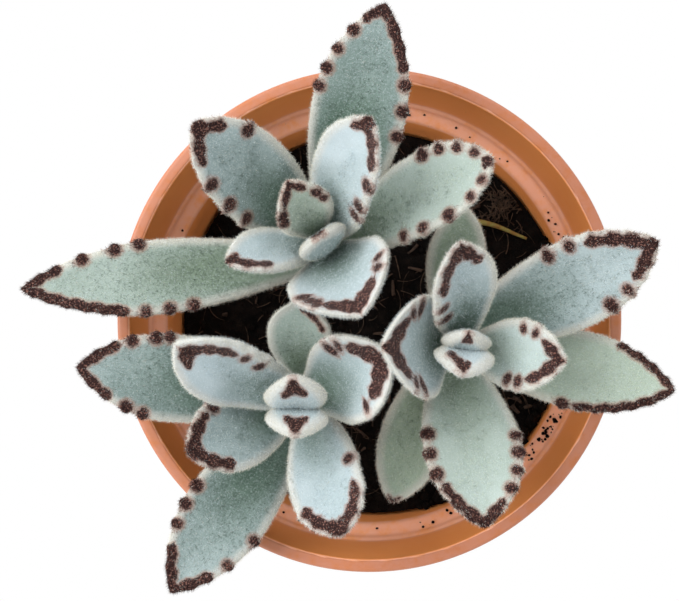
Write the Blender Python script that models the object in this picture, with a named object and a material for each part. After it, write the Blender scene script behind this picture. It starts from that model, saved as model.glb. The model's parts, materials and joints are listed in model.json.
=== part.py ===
"""Panda plant: three leafy stems with thick felted leaves, in a round plastic pot filled with soil.

Units are metres, +Z is up, and the origin is the centre of the pot's foot. The rim is a circle
round +Z, and +Y points to the back. Every leaf is one solid whose base stops just short of its stem.
"""

import math
import random

import bmesh
import bpy
from mathutils import Matrix, Vector

MM = 0.001

# Pot
RIM_RADIUS = 65.0 * MM
POT_HEIGHT = 112.0 * MM
FOOT_RADIUS = 45.0 * MM
WALL = 1.8 * MM
LIP_WIDTH = 3.4 * MM
LIP_ROUNDING = 1.0 * MM
COLLAR_HEIGHT = 24.0 * MM
COLLAR_STEP = 2.2 * MM
LEDGE_DEPTH = 17.0 * MM
LEDGE_WIDTH = 4.2 * MM
LEDGE_DROP = 3.0 * MM
COLLAR_SHOULDER = 1.6 * MM
INSIDE_FLARE = 2.6 * MM
LEDGE_LIP = 0.5 * MM
LEDGE_LIP_HEIGHT = 1.2 * MM
FLOOR_THICKNESS = 2.4 * MM
FLOOR_CORNER = 1.5 * MM
WALL_EXTRA_AT_FLOOR = 0.6 * MM
FOOT_RECESS = 1.6 * MM
FOOT_RING_WIDTH = 6.0 * MM
FOOT_DISC_RADIUS = 13.0 * MM
FOOT_BEVEL = 0.8 * MM
FOOT_EDGE = 1.0 * MM
DRAIN_HOLES = 6
DRAIN_RADIUS = 4.0 * MM
DRAIN_CIRCLE = 25.0 * MM
DRAIN_SIDES = 12
CUTTER_PAST = 5.0 * MM
POT_SEGMENTS = 64

# Soil
SOIL_DEPTH = 30.0 * MM
SOIL_RISE = 6.0 * MM
SOIL_HIGHEST_AT = -25.0
SOIL_GAP = 0.4 * MM
SOIL_SEGMENTS = 36
SOIL_RINGS = 7
SOIL_LUMP = 1.6 * MM
SOIL_SEED = 7

# Stems
STEM_FOOT_RADIUS = 4.4 * MM
STEM_NECK_RADIUS = 3.0 * MM
STEM_NECK_AT = 0.7
STEM_TOP_RADIUS = 1.1 * MM
STEM_SUNK = 14.0 * MM
STEM_SIDES = 12
STEM_RINGS = 7
HOLE_GAP = 0.4 * MM
HOLE_DEEPER = 0.3 * MM
DOME_AT = 0.6
DOME_RADIUS_SHARE = 0.66
DOME_TOP = 0.85

# Leaves
LEAF_GAP = 0.35 * MM
LEAF_THICKNESS = 3.6 * MM
FULL_THICKNESS_LENGTH = 36.0 * MM
YOUNG_THICKNESS_SHARE = 0.55
BASE_THICKNESS_SHARE = 0.72
TIP_THINS_FROM = 0.6
TIP_THINNING = 0.45
BASE_WIDTH_SHARE = 0.42
WIDEST_AT = 0.58
WIDENING = 1.25
TIP_ROUNDING = 0.8
ROLL_REACHED_AT = 0.35
FOLD_AT_BASE = 0.3
FOLD_GAIN = 1.4
TOOTH_HEIGHT = 0.9 * MM
TOOTH_PLACES = (0.53, 0.62, 0.71, 0.80, 0.89)
TOOTH_HALF_LENGTH = 0.025
FULL_TOOTH_LENGTH = 50.0 * MM
SHORTEST_TOOTHED = 22.0 * MM
SECTION_ACROSS = (-1.0, -0.78, 0.0, 0.78, 1.0)
BASE_STATIONS = (0.0, 0.1, 0.2, 0.3, 0.42)
TIP_STATIONS = (0.96, 1.0)
YOUNG_STATIONS = (0.0, 0.12, 0.25, 0.4, 0.55, 0.68, 0.8, 0.9, 0.96, 1.0)

# One stem a row: where it leaves the soil (x, y), where its growing tip is (x, y), and how far
# that tip stands above the rim, all in mm.
STEMS = {
    "upper": ((-8.0, 14.0), (-11.5, 19.5), 25.0),
    "left": ((-13.0, -15.0), (-17.0, -21.5), 26.0),
    "right": ((17.0, -5.0), (23.5, -7.0), 25.0),
}

# One leaf a row: height of its base above the rim, compass angle (0 is +X, 90 is +Y), length and
# width, all in mm and degrees; then how steeply it rises at its base and at its tip, how far it is
# rolled about its own length (positive raises its right-hand edge), how far its edges fold up,
# how far it swings sideways between base and tip, and how full its tip is (1.5 pointed, 3 blunt).
LEAVES = {
    "upper": [
        ("back", 5.0, 76.0, 62.0, 24.0, 34.0, 20.0, 8.0, 24.0, 0.0, 1.9),
        ("far_left", 0.0, 191.0, 75.0, 19.5, 20.0, 10.0, -12.0, 24.0, -8.0, 1.7),
        ("back_left", 9.0, 137.5, 49.0, 21.5, 48.0, 34.0, -6.0, 26.0, 0.0, 2.5),
        ("back_upright", 17.0, 66.0, 43.0, 19.5, 64.0, 42.0, 26.0, 36.0, 0.0, 2.9),
        ("front_right", 10.0, 26.0, 49.0, 20.0, 40.0, 28.0, 16.0, 30.0, 0.0, 3.2),
        ("left_upright", 19.0, 194.0, 25.5, 14.0, 46.0, 28.0, -30.0, 36.0, 0.0, 2.2),
        ("front_cupped", 18.0, 298.0, 29.0, 29.0, 60.0, 46.0, 0.0, 50.0, 0.0, 2.2),
        ("young_back", 23.0, 120.0, 23.0, 14.5, 72.0, 44.0, 0.0, 34.0, 0.0, 1.7),
        ("young_front", 23.0, 304.0, 15.0, 13.0, 86.0, 112.0, 0.0, 24.0, 0.0, 2.4),
    ],
    "left": [
        ("far_left", 2.0, 173.0, 56.0, 22.0, 26.0, 14.0, 0.0, 18.0, 0.0, 2.0),
        ("left_upright", 17.0, 153.0, 38.0, 19.0, 48.0, 34.0, 26.0, 36.0, 0.0, 2.6),
        ("front_left", 7.0, 205.0, 34.5, 20.0, 46.0, 34.0, 0.0, 24.0, 0.0, 2.4),
        ("far_front", -3.0, 235.5, 59.0, 22.0, 22.0, 14.0, 0.0, 18.0, 0.0, 1.9),
        ("front", 9.0, 286.5, 36.0, 19.5, 44.0, 24.0, -14.0, 28.0, 0.0, 3.2),
        ("right_cupped", 16.0, 28.5, 29.5, 24.5, 50.0, 34.0, 0.0, 50.0, 0.0, 2.1),
        ("back", 6.0, 94.0, 24.0, 17.0, 42.0, 28.0, 10.0, 30.0, 0.0, 2.8),
        ("young_back", 24.0, 95.0, 18.0, 15.0, 98.0, 44.0, 0.0, 18.0, 0.0, 2.0),
        ("young_front", 24.0, 268.0, 15.0, 15.0, 97.0, 50.0, 0.0, 18.0, 0.0, 2.0),
    ],
    "right": [
        ("back_right", 3.0, 27.0, 56.0, 22.5, 32.0, 18.0, -8.0, 22.0, 0.0, 2.2),
        ("far_right", -2.0, 348.0, 55.0, 20.0, 22.0, 12.0, 6.0, 20.0, 0.0, 1.9),
        ("front", 5.0, 279.0, 46.0, 25.0, 36.0, 22.0, 10.0, 26.0, 0.0, 2.0),
        ("front_low", -7.0, 251.0, 41.0, 17.0, 30.0, 12.0, 0.0, 20.0, 0.0, 2.3),
        ("back_upright", 20.0, 94.0, 33.0, 17.5, 58.0, 40.0, -24.0, 34.0, 0.0, 2.6),
        ("left_cupped", 15.0, 180.0, 30.0, 27.0, 66.0, 52.0, 0.0, 46.0, 0.0, 2.4),
        ("right_short", 16.0, 352.0, 28.0, 18.0, 46.0, 34.0, 0.0, 34.0, 0.0, 2.2),
        ("back_low", -9.0, 82.0, 34.0, 15.0, 34.0, 20.0, 0.0, 22.0, 0.0, 2.2),
        ("young_front", 22.0, 262.0, 17.0, 15.0, 92.0, 60.0, 0.0, 38.0, 0.0, 2.4),
        ("young_back", 23.0, 84.0, 14.0, 12.0, 98.0, 70.0, 0.0, 26.0, 0.0, 2.2),
    ],
}

RIM_Z = POT_HEIGHT
SOIL_Z = POT_HEIGHT - SOIL_DEPTH


def clear_scene():
    for obj in list(bpy.data.objects):
        bpy.data.objects.remove(obj)


def material(name, colour, roughness):
    made = bpy.data.materials.new(name)
    made.use_nodes = True
    shader = made.node_tree.nodes["Principled BSDF"]
    shader.inputs["Base Color"].default_value = (*colour, 1.0)
    shader.inputs["Roughness"].default_value = roughness
    shader.inputs["Metallic"].default_value = 0.0
    return made


def object_of(name, mesh_builder, finish, smooth_below=40.0):
    """Turns a bmesh into a named object with its material, its faces pointing out."""
    bmesh.ops.recalc_face_normals(mesh_builder, faces=mesh_builder.faces)
    mesh = bpy.data.meshes.new(name)
    mesh_builder.to_mesh(mesh)
    mesh_builder.free()
    mesh.shade_smooth()
    mesh.set_sharp_from_angle(angle=math.radians(smooth_below))
    obj = bpy.data.objects.new(name, mesh)
    obj.data.materials.append(finish)
    bpy.context.scene.collection.objects.link(obj)
    return obj


def turned(profile, segments):
    """A bmesh made by turning a closed outline of (radius, height) points round +Z."""
    bm = bmesh.new()
    rings = []
    for radius, height in profile:
        if radius < 1e-6:
            rings.append([bm.verts.new((0.0, 0.0, height))] * segments)
            continue
        ring = []
        for i in range(segments):
            angle = 2 * math.pi * i / segments
            ring.append(bm.verts.new((radius * math.cos(angle), radius * math.sin(angle), height)))
        rings.append(ring)
    for k, ring in enumerate(rings):
        above = rings[(k + 1) % len(rings)]
        for i in range(segments):
            j = (i + 1) % segments
            corners = []
            for vert in (ring[i], ring[j], above[j], above[i]):
                if vert not in corners:
                    corners.append(vert)
            if len(corners) > 2:
                bm.faces.new(corners)
    return bm


def wall_radius(height):
    """Outer radius of the pot's tapered wall below the collar, at a height."""
    top = RIM_RADIUS - COLLAR_STEP
    share = height / (POT_HEIGHT - COLLAR_HEIGHT)
    return FOOT_RADIUS + (top - COLLAR_SHOULDER - FOOT_RADIUS) * min(1.0, share)


def pot_profile():
    """Outline of the pot's wall and floor, from the middle of the foot up the outside and down inside.

    The pot stands on a disc in the middle and a ring at the edge, with the drain holes between them.
    """
    collar_bottom = POT_HEIGHT - COLLAR_HEIGHT
    inner_lip = RIM_RADIUS - LIP_WIDTH
    ledge_z = POT_HEIGHT - LEDGE_DEPTH
    ledge_outer = inner_lip - INSIDE_FLARE
    ledge_inner = ledge_outer - LEDGE_WIDTH
    inner_floor = FOOT_RADIUS - WALL - WALL_EXTRA_AT_FLOOR
    floor_z = FOOT_RECESS + FLOOR_THICKNESS
    round_ = LIP_ROUNDING
    return [
        (0.0, 0.0),
        (FOOT_DISC_RADIUS, 0.0),
        (FOOT_DISC_RADIUS + FOOT_BEVEL, FOOT_RECESS),
        (FOOT_RADIUS - FOOT_RING_WIDTH, FOOT_RECESS),
        (FOOT_RADIUS - FOOT_RING_WIDTH + FOOT_BEVEL, 0.0),
        (FOOT_RADIUS - FOOT_EDGE, 0.0),
        (FOOT_RADIUS, FOOT_EDGE),
        (wall_radius(collar_bottom), collar_bottom - 1.5 * MM),
        (RIM_RADIUS - COLLAR_STEP, collar_bottom),
        (RIM_RADIUS - COLLAR_STEP + 0.7 * MM, collar_bottom + 1.0 * MM),
        (RIM_RADIUS - 0.5 * MM, POT_HEIGHT - 2.4 * MM),
        (RIM_RADIUS, POT_HEIGHT - round_),
        (RIM_RADIUS - 0.5 * round_, POT_HEIGHT - 0.15 * round_),
        (RIM_RADIUS - 1.1 * round_, POT_HEIGHT),
        (inner_lip + 1.2 * round_, POT_HEIGHT),
        (inner_lip + 0.4 * round_, POT_HEIGHT - 0.4 * round_),
        (inner_lip, POT_HEIGHT - 1.4 * round_),
        (ledge_outer, ledge_z),
        (ledge_outer - 0.6 * MM, ledge_z - 1.0 * MM),
        (ledge_outer - 0.55 * LEDGE_WIDTH, ledge_z - 0.75 * LEDGE_DROP),
        (ledge_inner, ledge_z - LEDGE_DROP),
        (ledge_inner - LEDGE_LIP, ledge_z - LEDGE_DROP - LEDGE_LIP_HEIGHT),
        (inner_floor, floor_z + FLOOR_CORNER),
        (inner_floor - FLOOR_CORNER, floor_z),
        (0.0, floor_z),
    ]


def inner_wall_radius(height):
    """Inner radius of the pot below the ledge, at a height."""
    ledge_inner = RIM_RADIUS - LIP_WIDTH - INSIDE_FLARE - LEDGE_WIDTH - LEDGE_LIP
    top = POT_HEIGHT - LEDGE_DEPTH - LEDGE_DROP - LEDGE_LIP_HEIGHT
    floor = FOOT_RADIUS - WALL - WALL_EXTRA_AT_FLOOR
    low = FOOT_RECESS + FLOOR_THICKNESS + FLOOR_CORNER
    return floor + (ledge_inner - floor) * (height - low) / (top - low)


def cutter(name, bm):
    """A helper solid that a Boolean takes away. It isn't part of the object."""
    obj = object_of(name, bm, material(name, (1.0, 1.0, 1.0), 1.0))
    obj.hide_render = True
    obj.display_type = "WIRE"
    return obj


def cylinder(bm, radius, low, high, x, y, sides):
    middle = Matrix.Translation((x, y, (low + high) / 2))
    bmesh.ops.create_cone(
        bm, cap_ends=True, segments=sides, radius1=radius, radius2=radius, depth=high - low, matrix=middle
    )


def apply_difference(obj, helper):
    """Cuts the helper out of the object for good, and removes the helper."""
    cut = obj.modifiers.new("cut", "BOOLEAN")
    cut.operation = "DIFFERENCE"
    cut.solver = "EXACT"
    cut.object = helper
    graph = bpy.context.evaluated_depsgraph_get()
    obj.data = bpy.data.meshes.new_from_object(obj.evaluated_get(graph), depsgraph=graph)
    obj.modifiers.clear()
    bpy.data.objects.remove(helper)


def build_pot():
    plastic = material("terracotta_plastic", (0.66, 0.25, 0.10), 0.45)
    pot = object_of("pot", turned(pot_profile(), POT_SEGMENTS), plastic, 30.0)
    drains = bmesh.new()
    above_floor = FOOT_RECESS + FLOOR_THICKNESS + CUTTER_PAST
    for i in range(DRAIN_HOLES):
        angle = 2 * math.pi * i / DRAIN_HOLES
        x, y = DRAIN_CIRCLE * math.cos(angle), DRAIN_CIRCLE * math.sin(angle)
        cylinder(drains, DRAIN_RADIUS, -CUTTER_PAST, above_floor, x, y, DRAIN_SIDES)
    apply_difference(pot, cutter("drain_cutter", drains))


def stem_axis(stem, height_above_rim):
    """Point on a stem's centre line at a height above the rim, in metres."""
    (foot_x, foot_y), (top_x, top_y), top = STEMS[stem]
    low = (SOIL_Z - RIM_Z) / MM
    share = (height_above_rim / MM - low) / (top - low)
    x = foot_x + (top_x - foot_x) * share
    y = foot_y + (top_y - foot_y) * share
    return Vector((x * MM, y * MM, RIM_Z + height_above_rim))


def stem_radius(stem, height_above_rim):
    """Radius of a stem at a height, which is nothing above its growing tip."""
    low = SOIL_Z - RIM_Z
    top = STEMS[stem][2] * MM
    if height_above_rim > top + STEM_TOP_RADIUS:
        return 0.0
    share = max(0.0, min(1.0, (height_above_rim - low) / (top - low)))
    if share < STEM_NECK_AT:
        return STEM_FOOT_RADIUS + (STEM_NECK_RADIUS - STEM_FOOT_RADIUS) * share / STEM_NECK_AT
    past = (share - STEM_NECK_AT) / (1 - STEM_NECK_AT)
    return STEM_NECK_RADIUS + (STEM_TOP_RADIUS - STEM_NECK_RADIUS) * past


def stem_mesh(stem, extra):
    """A tapered stem with a domed top. extra makes it fatter, for the hole that it stands in."""
    bm = bmesh.new()
    low = SOIL_Z - RIM_Z - STEM_SUNK - (HOLE_DEEPER if extra else 0.0)
    top = STEMS[stem][2] * MM
    levels = [low + (top - low) * k / (STEM_RINGS - 1) for k in range(STEM_RINGS)]
    rings = []
    for height in levels:
        centre = stem_axis(stem, height)
        radius = stem_radius(stem, height) + extra
        rings.append(stem_ring(bm, centre, radius))
    dome = stem_axis(stem, top + DOME_AT * STEM_TOP_RADIUS)
    rings.append(stem_ring(bm, dome, DOME_RADIUS_SHARE * STEM_TOP_RADIUS + extra))
    for first, second in zip(rings, rings[1:]):
        for i in range(STEM_SIDES):
            j = (i + 1) % STEM_SIDES
            bm.faces.new((first[i], first[j], second[j], second[i]))
    bm.faces.new(rings[0])
    apex = bm.verts.new(stem_axis(stem, top + DOME_TOP * STEM_TOP_RADIUS))
    for i in range(STEM_SIDES):
        bm.faces.new((rings[-1][i], rings[-1][(i + 1) % STEM_SIDES], apex))
    return bm


def stem_ring(bm, centre, radius):
    ring = []
    for i in range(STEM_SIDES):
        angle = 2 * math.pi * i / STEM_SIDES
        ring.append(bm.verts.new(centre + Vector((radius * math.cos(angle), radius * math.sin(angle), 0.0))))
    return ring


def soil_height(radius, angle, noise):
    """Height of the soil's top: it slopes up to the right, with lumps."""
    slope = SOIL_RISE * (radius / RIM_RADIUS) * math.cos(angle - math.radians(SOIL_HIGHEST_AT))
    lumps = SOIL_LUMP * noise.uniform(-1.0, 1.0)
    return SOIL_Z + slope + lumps


def build_soil():
    peat = material("potting_soil", (0.035, 0.022, 0.015), 0.95)
    noise = random.Random(SOIL_SEED)
    bm = bmesh.new()
    low = FOOT_RECESS + FLOOR_THICKNESS + SOIL_GAP
    rings = []
    for k in range(1, SOIL_RINGS + 1):
        ring = []
        for i in range(SOIL_SEGMENTS):
            angle = 2 * math.pi * i / SOIL_SEGMENTS
            guess = inner_wall_radius(SOIL_Z) * k / SOIL_RINGS
            height = soil_height(guess, angle, noise)
            radius = (inner_wall_radius(height) - 2.0 * SOIL_GAP) * k / SOIL_RINGS
            ring.append(bm.verts.new((radius * math.cos(angle), radius * math.sin(angle), height)))
        rings.append(ring)
    centre = bm.verts.new((0.0, 0.0, SOIL_Z))
    foot_radius = FOOT_RADIUS - WALL - WALL_EXTRA_AT_FLOOR - FLOOR_CORNER - 2.0 * SOIL_GAP
    foot = []
    for i in range(SOIL_SEGMENTS):
        angle = 2 * math.pi * i / SOIL_SEGMENTS
        foot.append(bm.verts.new((foot_radius * math.cos(angle), foot_radius * math.sin(angle), low)))
    for i in range(SOIL_SEGMENTS):
        j = (i + 1) % SOIL_SEGMENTS
        bm.faces.new((centre, rings[0][i], rings[0][j]))
        for inner, outer in zip(rings, rings[1:]):
            bm.faces.new((inner[i], outer[i], outer[j], inner[j]))
        bm.faces.new((rings[-1][i], foot[i], foot[j], rings[-1][j]))
    bm.faces.new(foot)
    bmesh.ops.triangulate(bm, faces=bm.faces)
    soil = object_of("soil", bm, peat, 60.0)
    for stem in STEMS:
        apply_difference(soil, cutter("hole_cutter", stem_mesh(stem, HOLE_GAP)))


def half_width(share, width, fullness):
    """Half the width of a leaf blade at a share of its length."""
    if share < WIDEST_AT:
        swell = math.sin(math.pi / 2 * share / WIDEST_AT) ** WIDENING
        return width / 2 * (BASE_WIDTH_SHARE + (1 - BASE_WIDTH_SHARE) * swell)
    past = (share - WIDEST_AT) / (1 - WIDEST_AT)
    return width / 2 * (1 - past**fullness) ** TIP_ROUNDING


def half_thickness(share, length):
    """Half the thickness along the midrib, fullest near the base and thin at the tip."""
    grown = YOUNG_THICKNESS_SHARE + (1 - YOUNG_THICKNESS_SHARE) * min(1.0, length / FULL_THICKNESS_LENGTH)
    fullest = math.sin(math.pi * min(1.0, share / 0.9))
    swell = BASE_THICKNESS_SHARE + (1 - BASE_THICKNESS_SHARE) * fullest
    tip = 1.0 - TIP_THINNING * max(0.0, (share - TIP_THINS_FROM) / (1 - TIP_THINS_FROM)) ** 2
    return LEAF_THICKNESS / 2 * swell * tip * grown


def leaf_stations(length):
    """Shares of the leaf's length with a ring each, and how far a tooth stands out there, in metres."""
    if length < SHORTEST_TOOTHED:
        return [(share, 0.0) for share in YOUNG_STATIONS]
    height = TOOTH_HEIGHT * min(1.0, length / FULL_TOOTH_LENGTH)
    stations = [(share, 0.0) for share in BASE_STATIONS]
    for place in TOOTH_PLACES:
        stations += [(place - TOOTH_HALF_LENGTH, 0.0), (place, height), (place + TOOTH_HALF_LENGTH, 0.0)]
    return stations + [(share, 0.0) for share in TIP_STATIONS]


def leaf_frames(start, row, shares):
    """Points along the leaf's midrib, each with its forward, sideways and upper-face directions."""
    _, _, azimuth, length, _, rise_base, rise_tip, roll, _, swing, _ = row
    frames = []
    point = start.copy()
    last = 0.0
    for share in shares:
        ahead = midrib_direction(azimuth, swing, rise_base, rise_tip, (share + last) / 2)
        point = point + ahead * (share - last) * length * MM
        forward = midrib_direction(azimuth, swing, rise_base, rise_tip, share)
        turn = math.radians(azimuth + swing * share)
        left = Vector((-math.sin(turn), math.cos(turn), 0.0))
        up = forward.cross(left)
        about = Matrix.Rotation(-math.radians(roll) * min(1.0, share / ROLL_REACHED_AT), 3, forward)
        frames.append((point, about @ left, about @ up))
        last = share
    return frames


def midrib_direction(azimuth, swing, rise_base, rise_tip, share):
    turn = math.radians(azimuth + swing * share)
    rise = math.radians(rise_base + (rise_tip - rise_base) * share)
    return Vector((math.cos(turn) * math.cos(rise), math.sin(turn) * math.cos(rise), math.sin(rise)))


def leaf_mesh(stem, row):
    _, height, azimuth, length, width, rise_base, _, _, fold, _, fullness = row
    height, length, width = height * MM, length * MM, width * MM
    turn = math.radians(azimuth)
    lean = half_thickness(0.0, length) * math.sin(math.radians(rise_base))
    reach = stem_radius(stem, height) + LEAF_GAP + lean
    start = stem_axis(stem, height) + Vector((math.cos(turn), math.sin(turn), 0.0)) * reach
    stations = leaf_stations(length)
    frames = leaf_frames(start, row, [share for share, _ in stations])
    bm = bmesh.new()
    rings = []
    for (share, tooth), (point, left, up) in zip(stations[:-1], frames):
        half = half_width(share, width, fullness)
        thick = half_thickness(share, length)
        bend = math.radians(fold) * min(1.0, FOLD_AT_BASE + FOLD_GAIN * share)
        ring = []
        for side, lift in section(half, thick, bend, tooth):
            ring.append(bm.verts.new(point + left * side + up * lift))
        rings.append(ring)
    tip = bm.verts.new(frames[-1][0])
    for first, second in zip(rings, rings[1:]):
        for i in range(len(first)):
            j = (i + 1) % len(first)
            bm.faces.new((first[i], first[j], second[j], second[i]))
    bm.faces.new(rings[0])
    for i in range(len(rings[-1])):
        bm.faces.new((rings[-1][i], rings[-1][(i + 1) % len(rings[-1])], tip))
    bmesh.ops.triangulate(bm, faces=bm.faces)
    return bm


def section(half, thick, bend, tooth):
    """Outline across a leaf, as (sideways, up) points: a bent slab with round edges."""
    curl = half / max(bend, 1e-3)
    points = []
    for face, row in ((1, SECTION_ACROSS), (-1, SECTION_ACROSS[-2:0:-1])):
        for u in row:
            angle = bend * u
            radius = curl - face * thick * (1 - abs(u) ** 3) ** 0.5
            out = tooth if abs(u) == 1.0 else 0.0
            side = radius * math.sin(angle) + math.copysign(out, u) * math.cos(bend)
            lift = curl - radius * math.cos(angle) + out * math.sin(bend)
            points.append((side, lift))
    return points


def build_stems():
    bark = material("stem", (0.30, 0.32, 0.22), 0.8)
    for stem in STEMS:
        object_of("stem_" + stem, stem_mesh(stem, 0.0), bark)


def build_leaves():
    felt = material("leaf_felt", (0.52, 0.62, 0.56), 0.85)
    for stem, rows in LEAVES.items():
        for row in rows:
            object_of("leaf_" + stem + "_" + row[0], leaf_mesh(stem, row), felt, 80.0)


def main():
    clear_scene()
    build_pot()
    build_soil()
    build_stems()
    build_leaves()


main()
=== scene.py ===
"""Looks of the potted panda plant: felted leaves on three stems, soil and a terracotta-coloured pot.

Lengths are in metres unless a name or comment says otherwise. +Z is up and +Y points to the back,
which is up in the photograph. Leaves, stems and pot repeat the frame's form with a finer surface.
"""

import json
import math
from collections import namedtuple

import bmesh
import bpy
import numpy as np
from mathutils import Matrix, Vector, noise

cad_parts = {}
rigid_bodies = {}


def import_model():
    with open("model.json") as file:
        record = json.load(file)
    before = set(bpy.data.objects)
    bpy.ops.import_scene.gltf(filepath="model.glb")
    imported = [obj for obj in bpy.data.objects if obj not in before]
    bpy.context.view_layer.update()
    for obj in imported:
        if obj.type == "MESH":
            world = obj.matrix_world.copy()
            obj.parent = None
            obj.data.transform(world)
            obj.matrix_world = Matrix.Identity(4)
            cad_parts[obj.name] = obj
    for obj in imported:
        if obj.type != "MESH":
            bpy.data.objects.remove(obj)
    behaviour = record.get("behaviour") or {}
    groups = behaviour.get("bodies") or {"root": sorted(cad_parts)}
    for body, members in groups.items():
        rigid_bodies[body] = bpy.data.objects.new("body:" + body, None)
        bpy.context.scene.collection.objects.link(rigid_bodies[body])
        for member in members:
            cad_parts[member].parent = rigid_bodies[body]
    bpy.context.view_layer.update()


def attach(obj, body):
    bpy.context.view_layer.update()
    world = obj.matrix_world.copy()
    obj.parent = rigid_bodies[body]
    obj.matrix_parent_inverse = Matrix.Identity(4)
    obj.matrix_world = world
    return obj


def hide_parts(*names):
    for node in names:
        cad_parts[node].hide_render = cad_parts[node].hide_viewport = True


MM = 0.001
SEED = 11

# Pot, as in the frame
RIM_RADIUS = 65 * MM
POT_HEIGHT = 112 * MM
FOOT_RADIUS = 45 * MM
WALL = 1.8 * MM
LIP_WIDTH = 3.4 * MM
COLLAR_HEIGHT = 24 * MM
COLLAR_STEP = 2.2 * MM
COLLAR_SHOULDER = 1.6 * MM
LEDGE_DEPTH = 17 * MM
LEDGE_WIDTH = 4.2 * MM
LEDGE_DROP = 3 * MM
INSIDE_FLARE = 2.6 * MM
WALL_EXTRA_AT_FLOOR = 0.6 * MM
FLOOR_THICKNESS = 2.4 * MM
FOOT_RECESS = 1.6 * MM
FOOT_RING_WIDTH = 6 * MM
FOOT_DISC_RADIUS = 13 * MM
DRAIN_HOLES = 6
DRAIN_RADIUS = 4 * MM
DRAIN_CIRCLE = 25 * MM
DRAIN_SEGMENTS = 40
DRAIN_CUTTER_LENGTH = 16 * MM
POT_SEGMENTS = 192

# Roundings of the pot's edges
FOOT_ROUNDING = 1.2 * MM
COLLAR_ROUNDING = 0.9 * MM
RIM_ROUNDING = 1.1 * MM
LIP_ROUNDING = 1 * MM
SHARP_EDGE_ANGLE = math.radians(50)

# Radii and heights that follow from these
RIM_Z = POT_HEIGHT
COLLAR_Z = POT_HEIGHT - COLLAR_HEIGHT
COLLAR_RADIUS = RIM_RADIUS - COLLAR_STEP
WALL_TOP_RADIUS = COLLAR_RADIUS - COLLAR_SHOULDER
LIP_INSIDE = RIM_RADIUS - LIP_WIDTH
LEDGE_Z = POT_HEIGHT - LEDGE_DEPTH
LEDGE_OUTSIDE = LIP_INSIDE - INSIDE_FLARE
LEDGE_INSIDE = LEDGE_OUTSIDE - LEDGE_WIDTH
FLOOR_Z = FOOT_RECESS + FLOOR_THICKNESS
INNER_WALL_TOP = (LEDGE_INSIDE - 0.5 * MM, LEDGE_Z - LEDGE_DROP - 1.2 * MM)
INNER_WALL_FOOT = (FOOT_RADIUS - WALL - WALL_EXTRA_AT_FLOOR, FLOOR_Z + 1.5 * MM)

# Soil, as in the frame; it is highest at one compass angle
SOIL_DEPTH = 30 * MM
SOIL_Z = POT_HEIGHT - SOIL_DEPTH
SOIL_RISE = 6 * MM
SOIL_HIGH_AT = math.radians(-25)
SOIL_GAP = 0.4 * MM
SOIL_FOOT_INSET = 2.1 * MM
SOIL_SEGMENTS = 180
SOIL_RINGS = 60
SOIL_LUMP = 1.82 * MM
SOIL_LUMP_SPACING = 11 * MM

# Stems, as in the frame, with faint scars on their lower part
STEM_FOOT_RADIUS = 4.4 * MM
STEM_NECK_RADIUS = 3 * MM
STEM_NECK_AT = 0.7
STEM_TOP_RADIUS = 1.1 * MM
STEM_SUNK = 14 * MM
STEM_LEVELS = 90
STEM_SIDES = 40
STEM_TIP_SHARES = (0.45, 0.8, 0.97)
STEM_TIP_HEIGHT = 0.85 * STEM_TOP_RADIUS
STEM_UNEVENNESS = 0.10 * MM
SCAR_HEIGHT = 0.22 * MM
SCAR_SPACING = 6.5 * MM
SCARS_BELOW = 8 * MM

# Leaves, as in the frame
LEAF_GAP = 0.35 * MM
LEAF_THICKNESS = 3.6 * MM
FULL_THICKNESS_LENGTH = 36 * MM
YOUNG_THICKNESS_SHARE = 0.55
BASE_THICKNESS_SHARE = 0.72
SWELL_ENDS_AT = 0.9
TIP_THINS_FROM = 0.6
TIP_THINNING = 0.45
BASE_WIDTH_SHARE = 0.42
WIDEST_AT = 0.58
WIDENING = 1.25
TIP_ROUNDING = 0.8
TIP_HALF_WIDTH = 0.02 * MM
TIP_CLOSES_OVER = 1.6 * MM
ROLL_REACHED_AT = 0.35
FOLD_AT_BASE = 0.3
FOLD_GAIN = 1.4
LEAST_BEND = 1e-3
YOUNG_LENGTH = 20 * MM
YOUNG_PLUMPNESS = 1.4
UNEVENNESS = 0.22 * MM
UNEVENNESS_SPACING = 14 * MM

# Teeth, and the rings and points of a leaf's surface
TOOTH_HEIGHT = 0.9 * MM
TOOTH_HALF_LENGTH = 1.9 * MM
TOOTH_ROOT_AT = 0.7
TOOTH_ROOT_WIDTH = 0.3
TOOTH_SPACING_MM = 4.6
TOOTH_TIP_CLEAR_MM = 2.5
TOOTH_BAND_CLEAR_MM = 1.0
BAND_TOOTH_SHARE = 0.55
FULL_TOOTH_LENGTH = 50 * MM
SHORTEST_TOOTHED = 22 * MM
EDGE_SAMPLES = 170
RING_SPACING = 0.62 * MM
FEWEST_RINGS = 30
MOST_RINGS = 110
RING_CROWDING = 1.15
ACROSS = 25

# One stem a row: where it leaves the soil (x, y), where its growing tip is (x, y), and how far
# that tip stands above the rim, all in mm.
STEMS = {
    "upper": ((-8.0, 14.0), (-11.5, 19.5), 25.0),
    "left": ((-13.0, -15.0), (-17.0, -21.5), 26.0),
    "right": ((17.0, -5.0), (23.5, -7.0), 25.0),
}

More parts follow.
